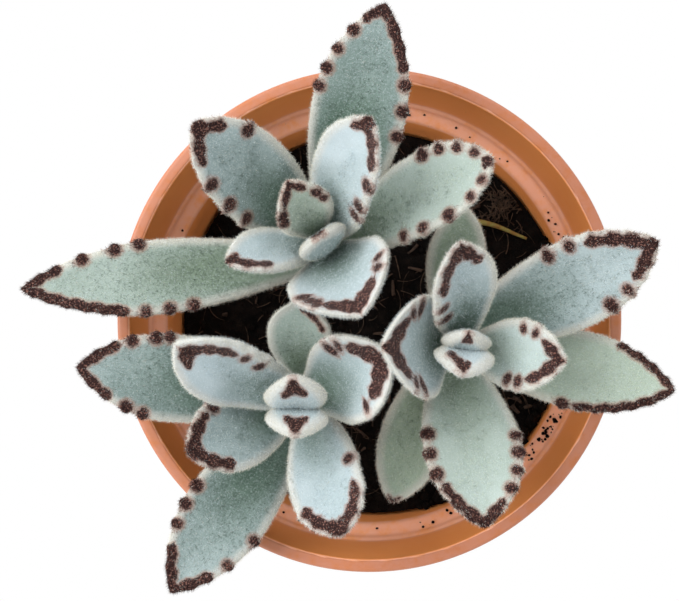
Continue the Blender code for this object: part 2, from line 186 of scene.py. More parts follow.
# Two lines a leaf, in mm and degrees. First its form: height of its base above the rim, compass angle
# (0 is +X, 90 is +Y), length and width, how steeply it rises at its base and at its tip, how far it
# is rolled about its own length (positive raises its right-hand edge), how far its edges fold up,
# how far it swings sideways between base and tip, and how full its tip is (1.5 pointed, 3 blunt).
# Then its brown marks, whose places are counted along the edge from the tip: a band follows the edge
# round the tip and separate spots follow it. They are how far inside the edge their middle lies, half
# the band's width, and the left-hand edge's band and spots, then the right-hand edge's. Last come how
# green and dark the leaf is, as old leaves have less felt and as painted shade on low leaves, and the
# share of its hairs that are yellower.
LEAF_ROWS = {
    "upper": [
        ("back", 5, 76, 62, 24, 34, 20, 8, 24, 0, 1.9,
         0.9, 1.5, 6, (10, 16, 21.5, 26.5), 17, (20.5, 27, 33.5), 1, 0),
        ("far_left", 0, 191, 75, 19.5, 20, 10, -12, 24, -8, 1.7,
         0.8, 1.5, 27, (31.5, 37.5, 43.5), 11, (17, 25.5, 32), 0.62, 0.3),
        ("back_left", 9, 137.5, 49, 21.5, 48, 34, -6, 26, 0, 2.5,
         1.9, 1.6, 10.5, (16.5, 24, 30.5), 8, (14.5,), 0.58, 0),
        ("back_upright", 17, 66, 43, 19.5, 64, 42, 26, 36, 0, 2.9,
         1.9, 1.7, 5, (), 13, (17.5, 24.5, 29), 0, 0),
        ("front_right", 10, 26, 49, 20, 40, 28, 16, 30, 0, 3.2,
         1.5, 1.3, 1.5, (5, 10, 15, 20), 2.5, (6, 11, 18.5, 26, 32), 0.16, 0.4),
        ("left_upright", 19, 194, 25.5, 14, 46, 28, -30, 36, 0, 2.2,
         1.9, 1.5, 12, (), 3, (), 0.05, 0),
        ("front_cupped", 18, 298, 29, 29, 60, 46, 0, 50, 0, 2.2,
         3.2, 2.2, 9.5, (13.5, 17.5), 9, (12.2, 15, 17.8), 0, 0),
        ("young_back", 23, 120, 23, 14.5, 72, 44, 0, 34, 0, 1.7,
         1.3, 1.1, 7, (9.6, 12), 5, (8.6, 11.4), 0.45, 0.5),
        ("young_front", 23, 304, 15, 13, 86, 112, 0, 24, 0, 2.4,
         1.6, 1.4, 2.6, (), 2.6, (), 0.6, 0),
    ],
    "left": [
        ("far_left", 2, 173, 56, 22, 26, 14, 0, 18, 0, 2,
         0.8, 1.5, 11, (16, 20.5), 12, (15.5, 21.5, 25), 0.95, 0),
        ("left_upright", 17, 153, 38, 19, 48, 34, 26, 36, 0, 2.6,
         3.2, 1.8, 7, (), 17, (20, 25), 0, 0),
        ("front_left", 7, 205, 34.5, 20, 46, 34, 0, 24, 0, 2.4,
         1.8, 1.7, 13, (), 11, (14.5,), 0.46, 0),
        ("far_front", -3, 235.5, 59, 22, 22, 14, 0, 18, 0, 1.9,
         0.9, 1.6, 11, (16, 25), 12, (17.5, 23, 28.5), 0.85, 0),
        ("front", 9, 286.5, 36, 19.5, 44, 24, -14, 28, 0, 3.2,
         2, 1.6, 15, (21.5,), 13, (), 0, 0),
        ("right_cupped", 16, 28.5, 29.5, 24.5, 50, 34, 0, 50, 0, 2.1,
         3.5, 2.5, 12, (15.6, 19.2), 13, (17,), 0.1, 0),
        ("back", 6, 94, 24, 17, 42, 28, 10, 30, 0, 2.8,
         1.6, 0.9, 0, (), 11, (), 0.7, 0.3),
        ("young_back", 24, 95, 18, 15, 98, 44, 0, 18, 0, 2,
         2.6, 1.5, 5, (), 5, (), 0.15, 0),
        ("young_front", 24, 268, 15, 15, 97, 50, 0, 18, 0, 2,
         2.6, 1.5, 4.4, (), 4.4, (), 0.3, 0),
    ],
    "right": [
        ("back_right", 3, 27, 56, 22.5, 32, 18, -8, 22, 0, 2.2,
         2, 1.7, 18, (22.5, 28.5), 10.5, (14.5, 20.5), 0.42, 0),
        ("far_right", -2, 348, 55, 20, 22, 12, 6, 20, 0, 1.9,
         0.6, 1.1, 18, (), 26, (29,), 0.05, 0.6),
        ("front", 5, 279, 46, 25, 36, 22, 10, 26, 0, 2,
         1.3, 1.5, 8, (12, 17, 22, 26.5), 14.5, (18, 23.5, 29), 0.06, 0.4),
        ("front_low", -7, 251, 41, 17, 30, 12, 0, 20, 0, 2.3,
         0.5, 0.5, 2.5, (), 2, (), 0.52, 0.7),
        ("back_upright", 20, 94, 33, 17.5, 58, 40, -24, 34, 0, 2.6,
         2.3, 1.7, 15.5, (20, 25), 8, (), 0.15, 0),
        ("left_cupped", 15, 180, 30, 27, 66, 52, 0, 46, 0, 2.4,
         3.5, 2.5, 10.5, (14.2, 18.2), 9.5, (13, 16.8), 0.1, 0),
        ("right_short", 16, 352, 28, 18, 46, 34, 0, 34, 0, 2.2,
         2.3, 1.6, 7.5, (11, 15), 12, (15, 18.5), 0.05, 0.25),
        ("back_low", -9, 82, 34, 15, 34, 20, 0, 22, 0, 2.2,
         0.5, 0.4, 0, (), 0, (), 1, 0.6),
        ("young_front", 22, 262, 17, 15, 92, 60, 0, 38, 0, 2.4,
         2.2, 1.4, 2.5, (), 8, (), 0.1, 0),
        ("young_back", 23, 84, 14, 12, 98, 70, 0, 26, 0, 2.2,
         1.8, 1.2, 2.2, (), 2.2, (), 0.5, 0),
    ],
}

FORM = "name height azimuth length width rise_base rise_tip roll fold swing fullness "
COLOURING = "inset band_half left_band left_spots right_band right_spots green mint"
Leaf = namedtuple("Leaf", FORM + COLOURING)
LEAVES = {stem: [Leaf(*row) for row in rows] for stem, rows in LEAF_ROWS.items()}

# How the brown marks end, in mm: a band narrows along the edge and fades out past its end, and a
# mark of one edge fades on the half of the leaf that belongs to the other
NO_MARK = -9.0
BAND_NARROWING = 0.3
BAND_FADES_OVER = 0.9
OTHER_HALF_FADE = 6.0
OTHER_HALF_FADES_FROM = 1.5
DEEP_INSET = 2.1

# Painted shade in the cupped base of a leaf, where its skin is painted darker and greener and more of its
# hairs are grey
HOLLOW_FULL_LENGTH = 32 * MM

# Felt
HAIRS_PER_SQUARE_MM = 19.5
UNDERSIDE_SHARE = 0.62
OLD_LEAF_LOSS = 0.2
EDGE_FELT_MM = 1.8
EDGE_FELT_EXTRA = 1.2
HAIRS_PER_TUFT = 2
HAIR_LENGTH = 0.76 * MM
HAIR_WIDTH = 0.055 * MM
RIM_HAIR_LENGTH = 0.86 * MM
HAIR_DISORDER = 0.24
HAIR_LEAST_RISE = 0.3
ROOT_SUNK = 0.05 * MM
ROOT_SPREAD = 0.13 * MM
TIP_SPREAD = 0.09 * MM
MARK_SPREAD_MM = 0.32
STREAK_LENGTH = 1.5 * MM
STREAK_WIDTH = 0.30 * MM
SPECK_LENGTH = 0.55 * MM
SPECK_WIDTH = 0.34 * MM

# Hairs of each kind: colour, and the share of light that passes through
HAIRS = {
    "pale": ((0.80, 0.87, 0.91), 0.35),
    "brown": ((0.034, 0.009, 0.007), 0.2),
    "tan": ((0.30, 0.13, 0.09), 0.3),
    "cream": ((0.86, 0.835, 0.75), 0.45),
    # grey hairs are partly the bare skin of old leaves and partly painted shade at leaf bases and on low
    # leaves
    "grey": ((0.135, 0.185, 0.14), 0.35),
    "mint": ((0.83, 0.87, 0.72), 0.35),
}
PALE, BROWN, TAN, CREAM, GREY, MINT = range(len(HAIRS))

# Litter on the soil: loose clods and clods banked against the wall, then for each sort of fibre how
# many there are, their range of lengths and of radii, and the middle of their heap, all in mm
LOOSE_CLODS = 210
BANKED_CLODS = 150
FIBRES = (
    (420, (3.0, 11.0), (0.06, 0.2), None),
    (90, (2.0, 6.0), (0.10, 0.24), (37.0, 32.0)),
)
BARK_FLAKES = ((90, (1.5, 5.0), (0.3, 0.8), None),)
FIBRE_HEAP_SPREAD_MM = 2.0
FIBRE_STEPS = 6
TWIG_ENDS = ((29 * MM, 27 * MM), (43 * MM, 22.5 * MM))
TWIG_STEPS = 8

# Crumbs on the ledge: loose ones, then small heaps, each with its compass angle and spread in
# degrees, how many crumbs it has and how large the largest are, in mm
LEDGE_CRUMBS = 110
LEDGE_HEAPS = ((-31.0, 2.3, 24, 0.62), (-4.0, 2.4, 16, 0.6), (-64.0, 2.0, 12, 0.6))

# Camera, set so that the rim's centre and radius fall where the photograph has them
PHOTO_WIDTH = 679
FOCAL_PIXELS = 1631.7
SENSOR_MM = 36.0
CAMERA_AT = (2 * MM, -2 * MM, POT_HEIGHT + 420 * MM)
CAMERA_TARGET = (-7.47 * MM, 4.87 * MM, POT_HEIGHT)

# Lamps: name, compass angle and height angle, distance and size, power in watts, colour
LAMPS = (
    ("key", 158.0, 46.0, 1.1, 0.9, 11.5, (0.99, 0.99, 1.0)),
    ("front_left", 235.0, 34.0, 1.2, 0.9, 1.8, (1.0, 0.99, 0.97)),
    ("back", 80.0, 34.0, 1.2, 0.9, 3.0, (0.99, 0.99, 1.0)),
)
SKY_COLOUR = (0.93, 0.975, 1.0)
SKY_STRENGTH = 0.84
FLOOR_RADIUS = 0.9
FLOOR_BELOW = 0.2 * MM
FLOOR_SHADED_TO = (0.050, 0.085)


def new_mesh_object(name, points, faces, materials, material_index=None, fields=None, smooth=True):
    """An object from numpy arrays. faces is (n, 3) or (n, 4); fields are float values per point."""
    mesh = bpy.data.meshes.new(name)
    count, corners = faces.shape
    mesh.vertices.add(len(points))
    mesh.vertices.foreach_set("co", np.ascontiguousarray(points, np.float32).ravel())
    mesh.loops.add(count * corners)
    mesh.loops.foreach_set("vertex_index", np.ascontiguousarray(faces, np.int32).ravel())
    mesh.polygons.add(count)
    mesh.polygons.foreach_set("loop_start", np.arange(0, count * corners, corners, dtype=np.int32))
    mesh.polygons.foreach_set("loop_total", np.full(count, corners, np.int32))
    if material_index is not None:
        mesh.polygons.foreach_set("material_index", np.ascontiguousarray(material_index, np.int32))
    add_fields(mesh, fields or {})
    mesh.update(calc_edges=True)
    mesh.validate()
    if smooth:
        mesh.shade_smooth()
    for finish in materials:
        mesh.materials.append(finish)
    obj = bpy.data.objects.new(name, mesh)
    bpy.context.scene.collection.objects.link(obj)
    return obj


def add_fields(mesh, fields):
    """Float values for each point of a mesh, by name."""
    for name, values in fields.items():
        layer = mesh.attributes.new(name, "FLOAT", "POINT")
        layer.data.foreach_set("value", np.ascontiguousarray(values, np.float32))


def stem_axis(stem, height_above_rim):
    """Point on a stem's centre line at a height above the rim."""
    (foot_x, foot_y), (top_x, top_y), top = STEMS[stem]
    low = (SOIL_Z - RIM_Z) / MM
    share = (height_above_rim / MM - low) / (top - low)
    x = foot_x + (top_x - foot_x) * share
    y = foot_y + (top_y - foot_y) * share
    return np.array((x * MM, y * MM, RIM_Z + height_above_rim))


def stem_radius(stem, height_above_rim):
    """Radius of a stem at a height, which is nothing above its growing tip."""
    low = SOIL_Z - RIM_Z
    top = STEMS[stem][2] * MM
    if height_above_rim > top + STEM_TOP_RADIUS:
        return 0.0
    share = max(0.0, min(1.0, (height_above_rim - low) / (top - low)))
    if share < STEM_NECK_AT:
        return STEM_FOOT_RADIUS + (STEM_NECK_RADIUS - STEM_FOOT_RADIUS) * share / STEM_NECK_AT
    past = (share - STEM_NECK_AT) / (1 - STEM_NECK_AT)
    return STEM_NECK_RADIUS + (STEM_TOP_RADIUS - STEM_NECK_RADIUS) * past


def half_width(share, width, fullness):
    """Half the width of a leaf blade at shares of its length."""
    swell = np.sin(np.pi / 2 * np.minimum(share, WIDEST_AT) / WIDEST_AT) ** WIDENING
    base = width / 2 * (BASE_WIDTH_SHARE + (1 - BASE_WIDTH_SHARE) * swell)
    past = np.maximum(0.0, (share - WIDEST_AT) / (1 - WIDEST_AT))
    return np.where(share < WIDEST_AT, base, width / 2 * (1 - past**fullness) ** TIP_ROUNDING)


def half_thickness(share, length):
    """Half the thickness along the midrib, fullest near the base and thin at the tip."""
    grown = YOUNG_THICKNESS_SHARE + (1 - YOUNG_THICKNESS_SHARE) * min(1.0, length / FULL_THICKNESS_LENGTH)
    fullest = np.sin(np.pi * np.minimum(1.0, share / SWELL_ENDS_AT))
    swell = BASE_THICKNESS_SHARE + (1 - BASE_THICKNESS_SHARE) * fullest
    tip = 1.0 - TIP_THINNING * np.maximum(0.0, (share - TIP_THINS_FROM) / (1 - TIP_THINS_FROM)) ** 2
    return LEAF_THICKNESS / 2 * swell * tip * grown


def edge_from_tip(shares, half, length):
    """Distance along a blade's edge from its tip, for each ring."""
    steps = np.hypot(np.diff(shares * length), np.diff(half))
    return np.concatenate([np.cumsum(steps[::-1])[::-1], [0.0]])


def tooth_bump(from_tip, length, band, spots):
    """How far one edge stands out, one smooth bump for each spot and for each tooth in its band."""
    out = np.zeros_like(from_tip)
    if length < SHORTEST_TOOTHED:
        return out
    height = TOOTH_HEIGHT * min(1.0, length / FULL_TOOTH_LENGTH)
    in_band = np.arange(band - TOOTH_BAND_CLEAR_MM, TOOTH_TIP_CLEAR_MM, -TOOTH_SPACING_MM)
    for place, share in [(spot, 1.0) for spot in spots] + [(place, BAND_TOOTH_SHARE) for place in in_band]:
        off = np.clip(np.abs(from_tip - place * MM) / TOOTH_HALF_LENGTH, 0.0, 1.0)
        out = np.maximum(out, share * height * np.cos(off * np.pi / 2) ** 2)
    return out


def midrib(stem, leaf, shares):
    """Points along a leaf's midrib with their forward, left-hand and upper-face directions."""
    height, length = leaf.height * MM, leaf.length * MM
    turn = np.radians(leaf.azimuth + leaf.swing * shares)
    rise = np.radians(leaf.rise_base + (leaf.rise_tip - leaf.rise_base) * shares)
    forward = np.stack([np.cos(turn) * np.cos(rise), np.sin(turn) * np.cos(rise), np.sin(rise)], 1)
    steps = np.diff(shares)[:, None] * length * (forward[1:] + forward[:-1]) / 2
    lean = half_thickness(np.zeros(1), length)[0] * math.sin(math.radians(leaf.rise_base))
    reach = stem_radius(stem, height) + LEAF_GAP + lean
    base = math.radians(leaf.azimuth)
    start = stem_axis(stem, height) + np.array((math.cos(base), math.sin(base), 0.0)) * reach
    points = np.vstack([start, start + np.cumsum(steps, 0)])
    flat_left = np.stack([-np.sin(turn), np.cos(turn), np.zeros_like(turn)], 1)
    flat_up = np.cross(forward, flat_left)
    tilt = -np.radians(leaf.roll) * np.minimum(1.0, shares / ROLL_REACHED_AT)
    left = flat_left * np.cos(tilt)[:, None] + flat_up * np.sin(tilt)[:, None]
    up = flat_up * np.cos(tilt)[:, None] - flat_left * np.sin(tilt)[:, None]
    return points, forward, left, up


def leaf_surface(stem, leaf, draw):
    """Grid of a leaf's surface: rings along it, each going round over the upper and lower face.

    With it come the rings' shares of the length, the places across the leaf (1 is its left-hand
    edge), which face each is on, half the width and the forward direction.
    """
    length, width = leaf.length * MM, leaf.width * MM
    rings = int(np.clip(length / RING_SPACING, FEWEST_RINGS, MOST_RINGS))
    shares = 1 - (1 - np.linspace(0.0, 1.0, rings)) ** RING_CROWDING
    centre, forward, left, up = midrib(stem, leaf, shares)
    upper = np.sin(np.linspace(-np.pi / 2, np.pi / 2, ACROSS))
    u = np.concatenate([upper, upper[-2:0:-1]])
    face = np.concatenate([np.ones(ACROSS), -np.ones(ACROSS - 2)])
    half = np.maximum(half_width(shares, width, leaf.fullness), TIP_HALF_WIDTH)
    close = np.clip((1 - shares) * length / TIP_CLOSES_OVER, 0.0, 1.0)
    thick = half_thickness(shares, length) * np.sqrt(close * (2 - close))
    bend = np.radians(leaf.fold) * np.minimum(1.0, FOLD_AT_BASE + FOLD_GAIN * shares)
    curl = (half / np.maximum(bend, LEAST_BEND))[:, None]
    body = np.sqrt(np.maximum(0.0, 1 - np.abs(u) ** 4))
    plump = np.where(face > 0, 1 + YOUNG_PLUMPNESS * float(length < YOUNG_LENGTH), 1.0)
    radius = curl - face * thick[:, None] * body * plump
    angle = bend[:, None] * u
    from_tip = edge_from_tip(shares, half, length)
    left_out = tooth_bump(from_tip, length, leaf.left_band, leaf.left_spots)
    right_out = tooth_bump(from_tip, length, leaf.right_band, leaf.right_spots)
    out = np.where(u > 0, left_out[:, None], right_out[:, None])
    out = out * np.clip((np.abs(u) - TOOTH_ROOT_AT) / TOOTH_ROOT_WIDTH, 0, 1) ** 2
    side = radius * np.sin(angle) + np.sign(u) * out * np.cos(angle)
    lift = curl - radius * np.cos(angle) + out * np.abs(np.sin(angle))
    lift = lift + undulation(shares[:, None], u, length, draw)
    grid = centre[:, None] + left[:, None] * side[..., None] + up[:, None] * lift[..., None]
    return grid, shares, u, face, half, forward


def undulation(shares, u, length, draw):
    """Slow unevenness of a grown blade, in metres, along its upper direction."""
    phase = draw.uniform(0, 2 * np.pi, 4)
    along = shares * length / UNEVENNESS_SPACING
    wave = np.sin(along * 2.1 + phase[0]) * u + 0.7 * np.sin(along * 3.3 + phase[1] + 2 * u)
    fine = 0.35 * np.sin(along * 7.0 + phase[2] + 4 * u)
    return UNEVENNESS * (wave + fine) * np.minimum(1.0, shares * 4) * (1 - shares**6)


def brown_depth(leaf, shares, u, face, half, draw):
    """How deep inside the brown marks each surface point is, and how far from the edge, in mm."""
    length = leaf.length * MM
    from_tip = edge_from_tip(shares, half, length)
    dense = np.linspace(0.0, from_tip[0], EDGE_SAMPLES)
    along = np.interp(dense, from_tip[::-1], (shares * length)[::-1])
    out = np.interp(dense, from_tip[::-1], half[::-1])
    away = ((shares * length)[:, None, None] - np.concatenate([along, along])) ** 2
    away = away + ((half[:, None] * u)[..., None] - np.concatenate([out, -out])) ** 2
    nearest = away.argmin(2)
    on_left = nearest < EDGE_SAMPLES
    edge = np.sqrt(away.min(2)) / MM
    inside = np.where(face > 0, edge, -edge)
    where = (np.concatenate([dense, dense]) / MM)[nearest]
    phase = draw.uniform(0, 2 * np.pi, 3)
    sway = 0.20 * np.sin(where * 1.25 + phase[0]) + 0.07 * np.sin(where * 2.9 + phase[1])
    depth = np.full(edge.shape, NO_MARK)
    edges = ((True, leaf.left_band, leaf.left_spots), (False, leaf.right_band, leaf.right_spots))
    for left_hand, band, spots in edges:
        fade = OTHER_HALF_FADE * np.clip(where / OTHER_HALF_FADES_FROM, 0, 1)
        fade = np.where(on_left == left_hand, 0.0, fade)
        if band:
            wide = leaf.band_half * (1 - BAND_NARROWING * np.clip(where / band, 0, 1) ** 2) * (1 + sway)
            past = np.clip((where - band) / BAND_FADES_OVER, 0.0, 8.0)
            middle = leaf.inset * (1 - 0.25 * np.clip(1 - where / 3.0, 0, 1))
            depth = np.maximum(depth, wide - np.abs(inside - middle) - past - fade)
        for spot in spots:
            size = draw.uniform(0.85, 1.15)
            long_way = size * (1.4 if leaf.inset > DEEP_INSET else 1.6)
            over = (inside - leaf.inset * 0.9) / (size * leaf.band_half * 0.98)
            shape = np.sqrt(((where - spot) / long_way) ** 2 + over**2)
            depth = np.maximum(depth, 1.15 * size * (1 - shape) - fade)
    return depth, edge


def grid_faces(rings, around):
    """Quads between the rings of a closed grid."""
    ring = np.arange(rings - 1)[:, None] * around
    step = np.arange(around)[None]
    after = (step + 1) % around
    quads = np.stack([ring + step, ring + after, ring + around + after, ring + around + step], -1)
    return quads.reshape(-1, 4)[:, ::-1]


def build_leaf(stem, leaf, skin, hairs):
    """One blade, with the fields its finish reads, and the felt that grows on it."""
    name = stem + "_" + leaf.name
    draw = np.random.default_rng([SEED, sum(map(ord, name)) * 7 + len(name)])
    grid, shares, u, face, half, forward = leaf_surface(stem, leaf, draw)
    length = leaf.length * MM
    rings, around = grid.shape[:2]
    depth, edge = brown_depth(leaf, shares, u, face, half, draw)
    # Painted shade: darker and greener towards the leaf's base and along the middle of its upper face, more
    # on folded leaves
    hollow = (1 - shares[:, None]) * np.where(face > 0, (1 - 0.5 * u**2) * (0.75 + leaf.fold / 60), 1.0)
    hollow = hollow * min(1.0, length / HOLLOW_FULL_LENGTH)
    fields = {
        "brown_mm": depth.ravel(),
        "edge_mm": edge.ravel(),
        "green": np.full(depth.size, leaf.green),
        "mint": np.full(depth.size, leaf.mint),
        "hollow": hollow.ravel(),
    }
    faces = grid_faces(rings, around)
    blade = new_mesh_object("leaf_fine_" + name, grid.reshape(-1, 3), faces, [skin], fields=fields)
    close_ends(blade, around, rings)
    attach(blade, "root")
    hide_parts("leaf_" + name)
    felt = grow_felt("felt_" + name, leaf, grid, depth, edge, hollow, forward, hairs, draw)
    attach(felt, "root")


def close_ends(blade, around, rings):
    """Close the first and the last ring of a grid, each with one face."""
    bm = bmesh.new()
    bm.from_mesh(blade.data)
    bm.verts.ensure_lookup_table()
    bm.faces.new([bm.verts[i] for i in range(around)])
    bm.faces.new([bm.verts[(rings - 1) * around + i] for i in reversed(range(around))])
    bmesh.ops.remove_doubles(bm, verts=bm.verts, dist=0.005 * MM)
    bmesh.ops.recalc_face_normals(bm, faces=bm.faces)
    bm.to_mesh(blade.data)
    bm.free()
    blade.data.shade_smooth()


def scrambled(value):
    """A fraction that looks random but is the same each time for the same value."""
    return np.modf(np.sin(value) * 43758.5)[0]


def cell_value(along, across, long_way, wide):
    """A steady random number, 0 to 1, for each small cell of a leaf's surface."""
    column = np.floor(across / wide)
    row = np.floor(along / long_way + scrambled(column * 12.99))
    return np.abs(scrambled(column * 127.1 + row * 311.7))


def grid_cells(grid):
    """Corners, outward direction and area of each face of a leaf's grid."""
    a, b = grid[:-1], grid[1:]
    c = np.roll(grid, -1, 1)[1:]
    d = np.roll(grid, -1, 1)[:-1]
    normal = np.cross(b - d, c - a)
    area = np.linalg.norm(normal, axis=2) / 2
    centre = grid.mean(1)
    outward = (a + b + c + d) / 4 - (centre[:-1, None] + centre[1:, None]) / 2
    flip = np.sign((normal * outward).sum(2, keepdims=True))
    normal = normal * flip / np.maximum(np.linalg.norm(normal, axis=2, keepdims=True), 1e-12)
    return a, b, c, d, normal, area


def grow_felt(name, leaf, grid, depth, edge, hollow, forward, hairs, draw):
    """Fine hairs in small tufts all over a leaf, each one thin pointed face, longer at the edge."""
    length = leaf.length * MM
    a, b, c, d, normal, area = grid_cells(grid)
    near_edge = np.clip(1 - edge[:-1] / EDGE_FELT_MM, 0, 1)
    weight = area * (1 + EDGE_FELT_EXTRA * near_edge) * (1 - OLD_LEAF_LOSS * leaf.green)
    weight[:, len(grid[0]) // 2 + 1:] *= UNDERSIDE_SHARE
    tufts = int(weight.sum() / MM**2 * HAIRS_PER_SQUARE_MM / HAIRS_PER_TUFT)
    cell = draw.choice(weight.size, tufts, p=weight.ravel() / weight.sum())
    i, j = np.unravel_index(cell, weight.shape)
    s, t = draw.random((2, tufts, 1))
    root = (a[i, j] * (1 - s) + b[i, j] * s) * (1 - t) + (d[i, j] * (1 - s) + c[i, j] * s) * t
    n = normal[i, j]
    reach = n * draw.uniform(0.4, 0.9, (tufts, 1)) + forward[i] * draw.uniform(0.2, 0.9, (tufts, 1))
    reach = reach + draw.normal(0, HAIR_DISORDER, (tufts, 3))
    reach = reach - n * np.minimum((reach * n).sum(1, keepdims=True) - HAIR_LEAST_RISE, 0.0)
    reach /= np.linalg.norm(reach, axis=1, keepdims=True)
    at_edge = near_edge[i, j]
    size = HAIR_LENGTH + (RIM_HAIR_LENGTH - HAIR_LENGTH) * at_edge[:, None]
    size = size * draw.uniform(0.7, 1.15, (tufts, 1)) * min(1.0, 0.6 + length / (100 * MM))
    mark = depth[i, j] + draw.normal(0, MARK_SPREAD_MM, tufts)
    girth = np.linalg.norm(d - a, axis=2)
    across_at = (np.cumsum(girth, 1) - girth * (1 - t[:, 0].mean()))[i, j]
    along_at = (i + s[:, 0]) * length / len(grid)
    streak = cell_value(along_at, across_at, STREAK_LENGTH, STREAK_WIDTH)
    speck = cell_value(along_at, across_at, SPECK_LENGTH, SPECK_WIDTH)
    # The painted shade of the leaf's base goes with each tuft, to grey its hairs
    of_tufts = (root, n, reach, size, mark, at_edge, hollow[i, j], streak, speck)
    of_hairs = [np.repeat(values, HAIRS_PER_TUFT, 0) for values in of_tufts]
    root, n, reach, size, mark, at_edge, base_shade, streak, speck = of_hairs
    total = len(root)
    spread = draw.normal(0, ROOT_SPREAD, (total, 3))
    spread -= n * (spread * n).sum(1, keepdims=True)
    tip = root + reach * size * draw.uniform(0.75, 1.15, (total, 1)) + draw.normal(0, TIP_SPREAD, (total, 3))
    root = root + spread - n * ROOT_SUNK
    across = np.cross(tip - root, draw.normal(0, 1, (total, 3)))
    across *= HAIR_WIDTH / 2 / np.maximum(np.linalg.norm(across, axis=1, keepdims=True), 1e-9)
    points = np.stack([root - across, root + across, tip], 1).reshape(-1, 3)
    faces = np.arange(total * 3).reshape(-1, 3)
    kinds = hair_kinds(leaf, mark, at_edge, base_shade, streak, speck, draw)
    return new_mesh_object(name, points, faces, hairs, kinds, smooth=False)


def hair_kinds(leaf, mark, at_edge, base_shade, streak, speck, draw):
    """The kind of each hair: brown in the marks, mixed at their rims, else pale, or grey where the leaf is
    old and as painted shade towards its base.
    """
    total = len(mark)
    green = leaf.green
    kind = draw.random(total)
    toss = 0.6 * streak + 0.4 * draw.random(total)
    # Painted shade: more hairs grey towards the leaf's base and on old, low leaves, fewer at the edge
    fade = (0.34 + 0.5 * min(1.0, 2 * green)) * base_shade**1.6
    grey = toss < 0.03 + green * (0.16 + 0.8 * base_shade) + fade - 0.7 * at_edge
    creamy = kind < 0.14 + 0.3 * green**0.5 + 0.75 * at_edge
    plain = np.where(draw.random(total) < leaf.mint, MINT, PALE)
    pale = np.where(grey, GREY, np.where(creamy, CREAM, plain))
    toss = 0.75 * speck + 0.25 * kind
    dark = np.where(toss < 0.74, BROWN, np.where(toss < 0.86, TAN, CREAM))
    fringe = np.where(toss < 0.3, BROWN, np.where(toss < 0.68, TAN, pale))
    halo = np.where(toss < 0.22, TAN, pale)
    return np.where(mark > 0.12, dark, np.where(mark > -0.3, fringe, np.where(mark > -0.7, halo, pale)))


def set_inputs(tree, node, inputs):
    """Set each socket of a node to a value, or link it where an output is given."""
    for name, value in inputs.items():
        socket = node.inputs[name]
        if isinstance(value, bpy.types.NodeSocket):
            tree.links.new(value, socket)
        elif socket.type == "RGBA":
            socket.default_value = (*value, 1.0)
        else:
            socket.default_value = value


def add_node(tree, kind, inputs, **settings):
    """A new node with its settings and its inputs."""
    node = tree.nodes.new(kind)
    for name, value in settings.items():
        setattr(node, name, value)
    set_inputs(tree, node, inputs)
    return node


def principled(name, inputs):
    """A new material with its node tree and its principled shader."""
    made = bpy.data.materials.new(name)
    made.use_nodes = True
    tree = made.node_tree
    shader = tree.nodes["Principled BSDF"]
    set_inputs(tree, shader, inputs)
    return made, tree, shader


def blend_shaders(tree, factor, first, second, output="Material Output"):
    """Send a blend of two shaders to the output of a tree."""
    both = add_node(tree, "ShaderNodeMixShader", {0: factor, 1: first.outputs[0], 2: second.outputs[0]})
    set_inputs(tree, tree.nodes[output], {"Surface": both.outputs[0]})


def field(tree, name):
    """Output of a float field that the mesh carries."""
    return add_node(tree, "ShaderNodeAttribute", {}, attribute_name=name).outputs["Fac"]


def noise_value(tree, scale, detail, roughness=0.55, stretch=None):
    """Noise in object space; stretch scales the coordinates, less than 1 to lengthen the grain."""
    vector = add_node(tree, "ShaderNodeTexCoord", {}).outputs["Object"]
    if stretch:
        vector = add_node(tree, "ShaderNodeMapping", {"Vector": vector, "Scale": stretch}).outputs["Vector"]
    inputs = {"Vector": vector, "Scale": scale, "Detail": detail, "Roughness": roughness}
    return add_node(tree, "ShaderNodeTexNoise", inputs).outputs["Fac"]


def maths(tree, operation, first, second, clamp=False):
    """Output of a sum, difference or product; each side is a number or an output."""
    inputs = {0: first, 1: second}
    return add_node(tree, "ShaderNodeMath", inputs, operation=operation, use_clamp=clamp).outputs[0]


def ramp(tree, value, low, high, invert=False):
    """A smooth step from 0 at low to 1 at high, or from 1 to 0 where it is inverted."""
    start, end = (1.0, 0.0) if invert else (0.0, 1.0)
    inputs = {"Value": value, "From Min": low, "From Max": high, "To Min": start, "To Max": end}
    return add_node(tree, "ShaderNodeMapRange", inputs, interpolation_type="SMOOTHSTEP").outputs["Result"]


def mixed(tree, factor, first, second):
    """Mix of two colours, each a colour or an output."""
    inputs = {0: factor, 6: first, 7: second}
    return add_node(tree, "ShaderNodeMix", inputs, data_type="RGBA").outputs[2]


def bump(tree, shader, height, strength, distance):
    """Relief that is too fine for the mesh."""
    inputs = {"Strength": strength, "Distance": distance, "Height": height}
    node = add_node(tree, "ShaderNodeBump", inputs)
    set_inputs(tree, shader, {"Normal": node.outputs["Normal"]})


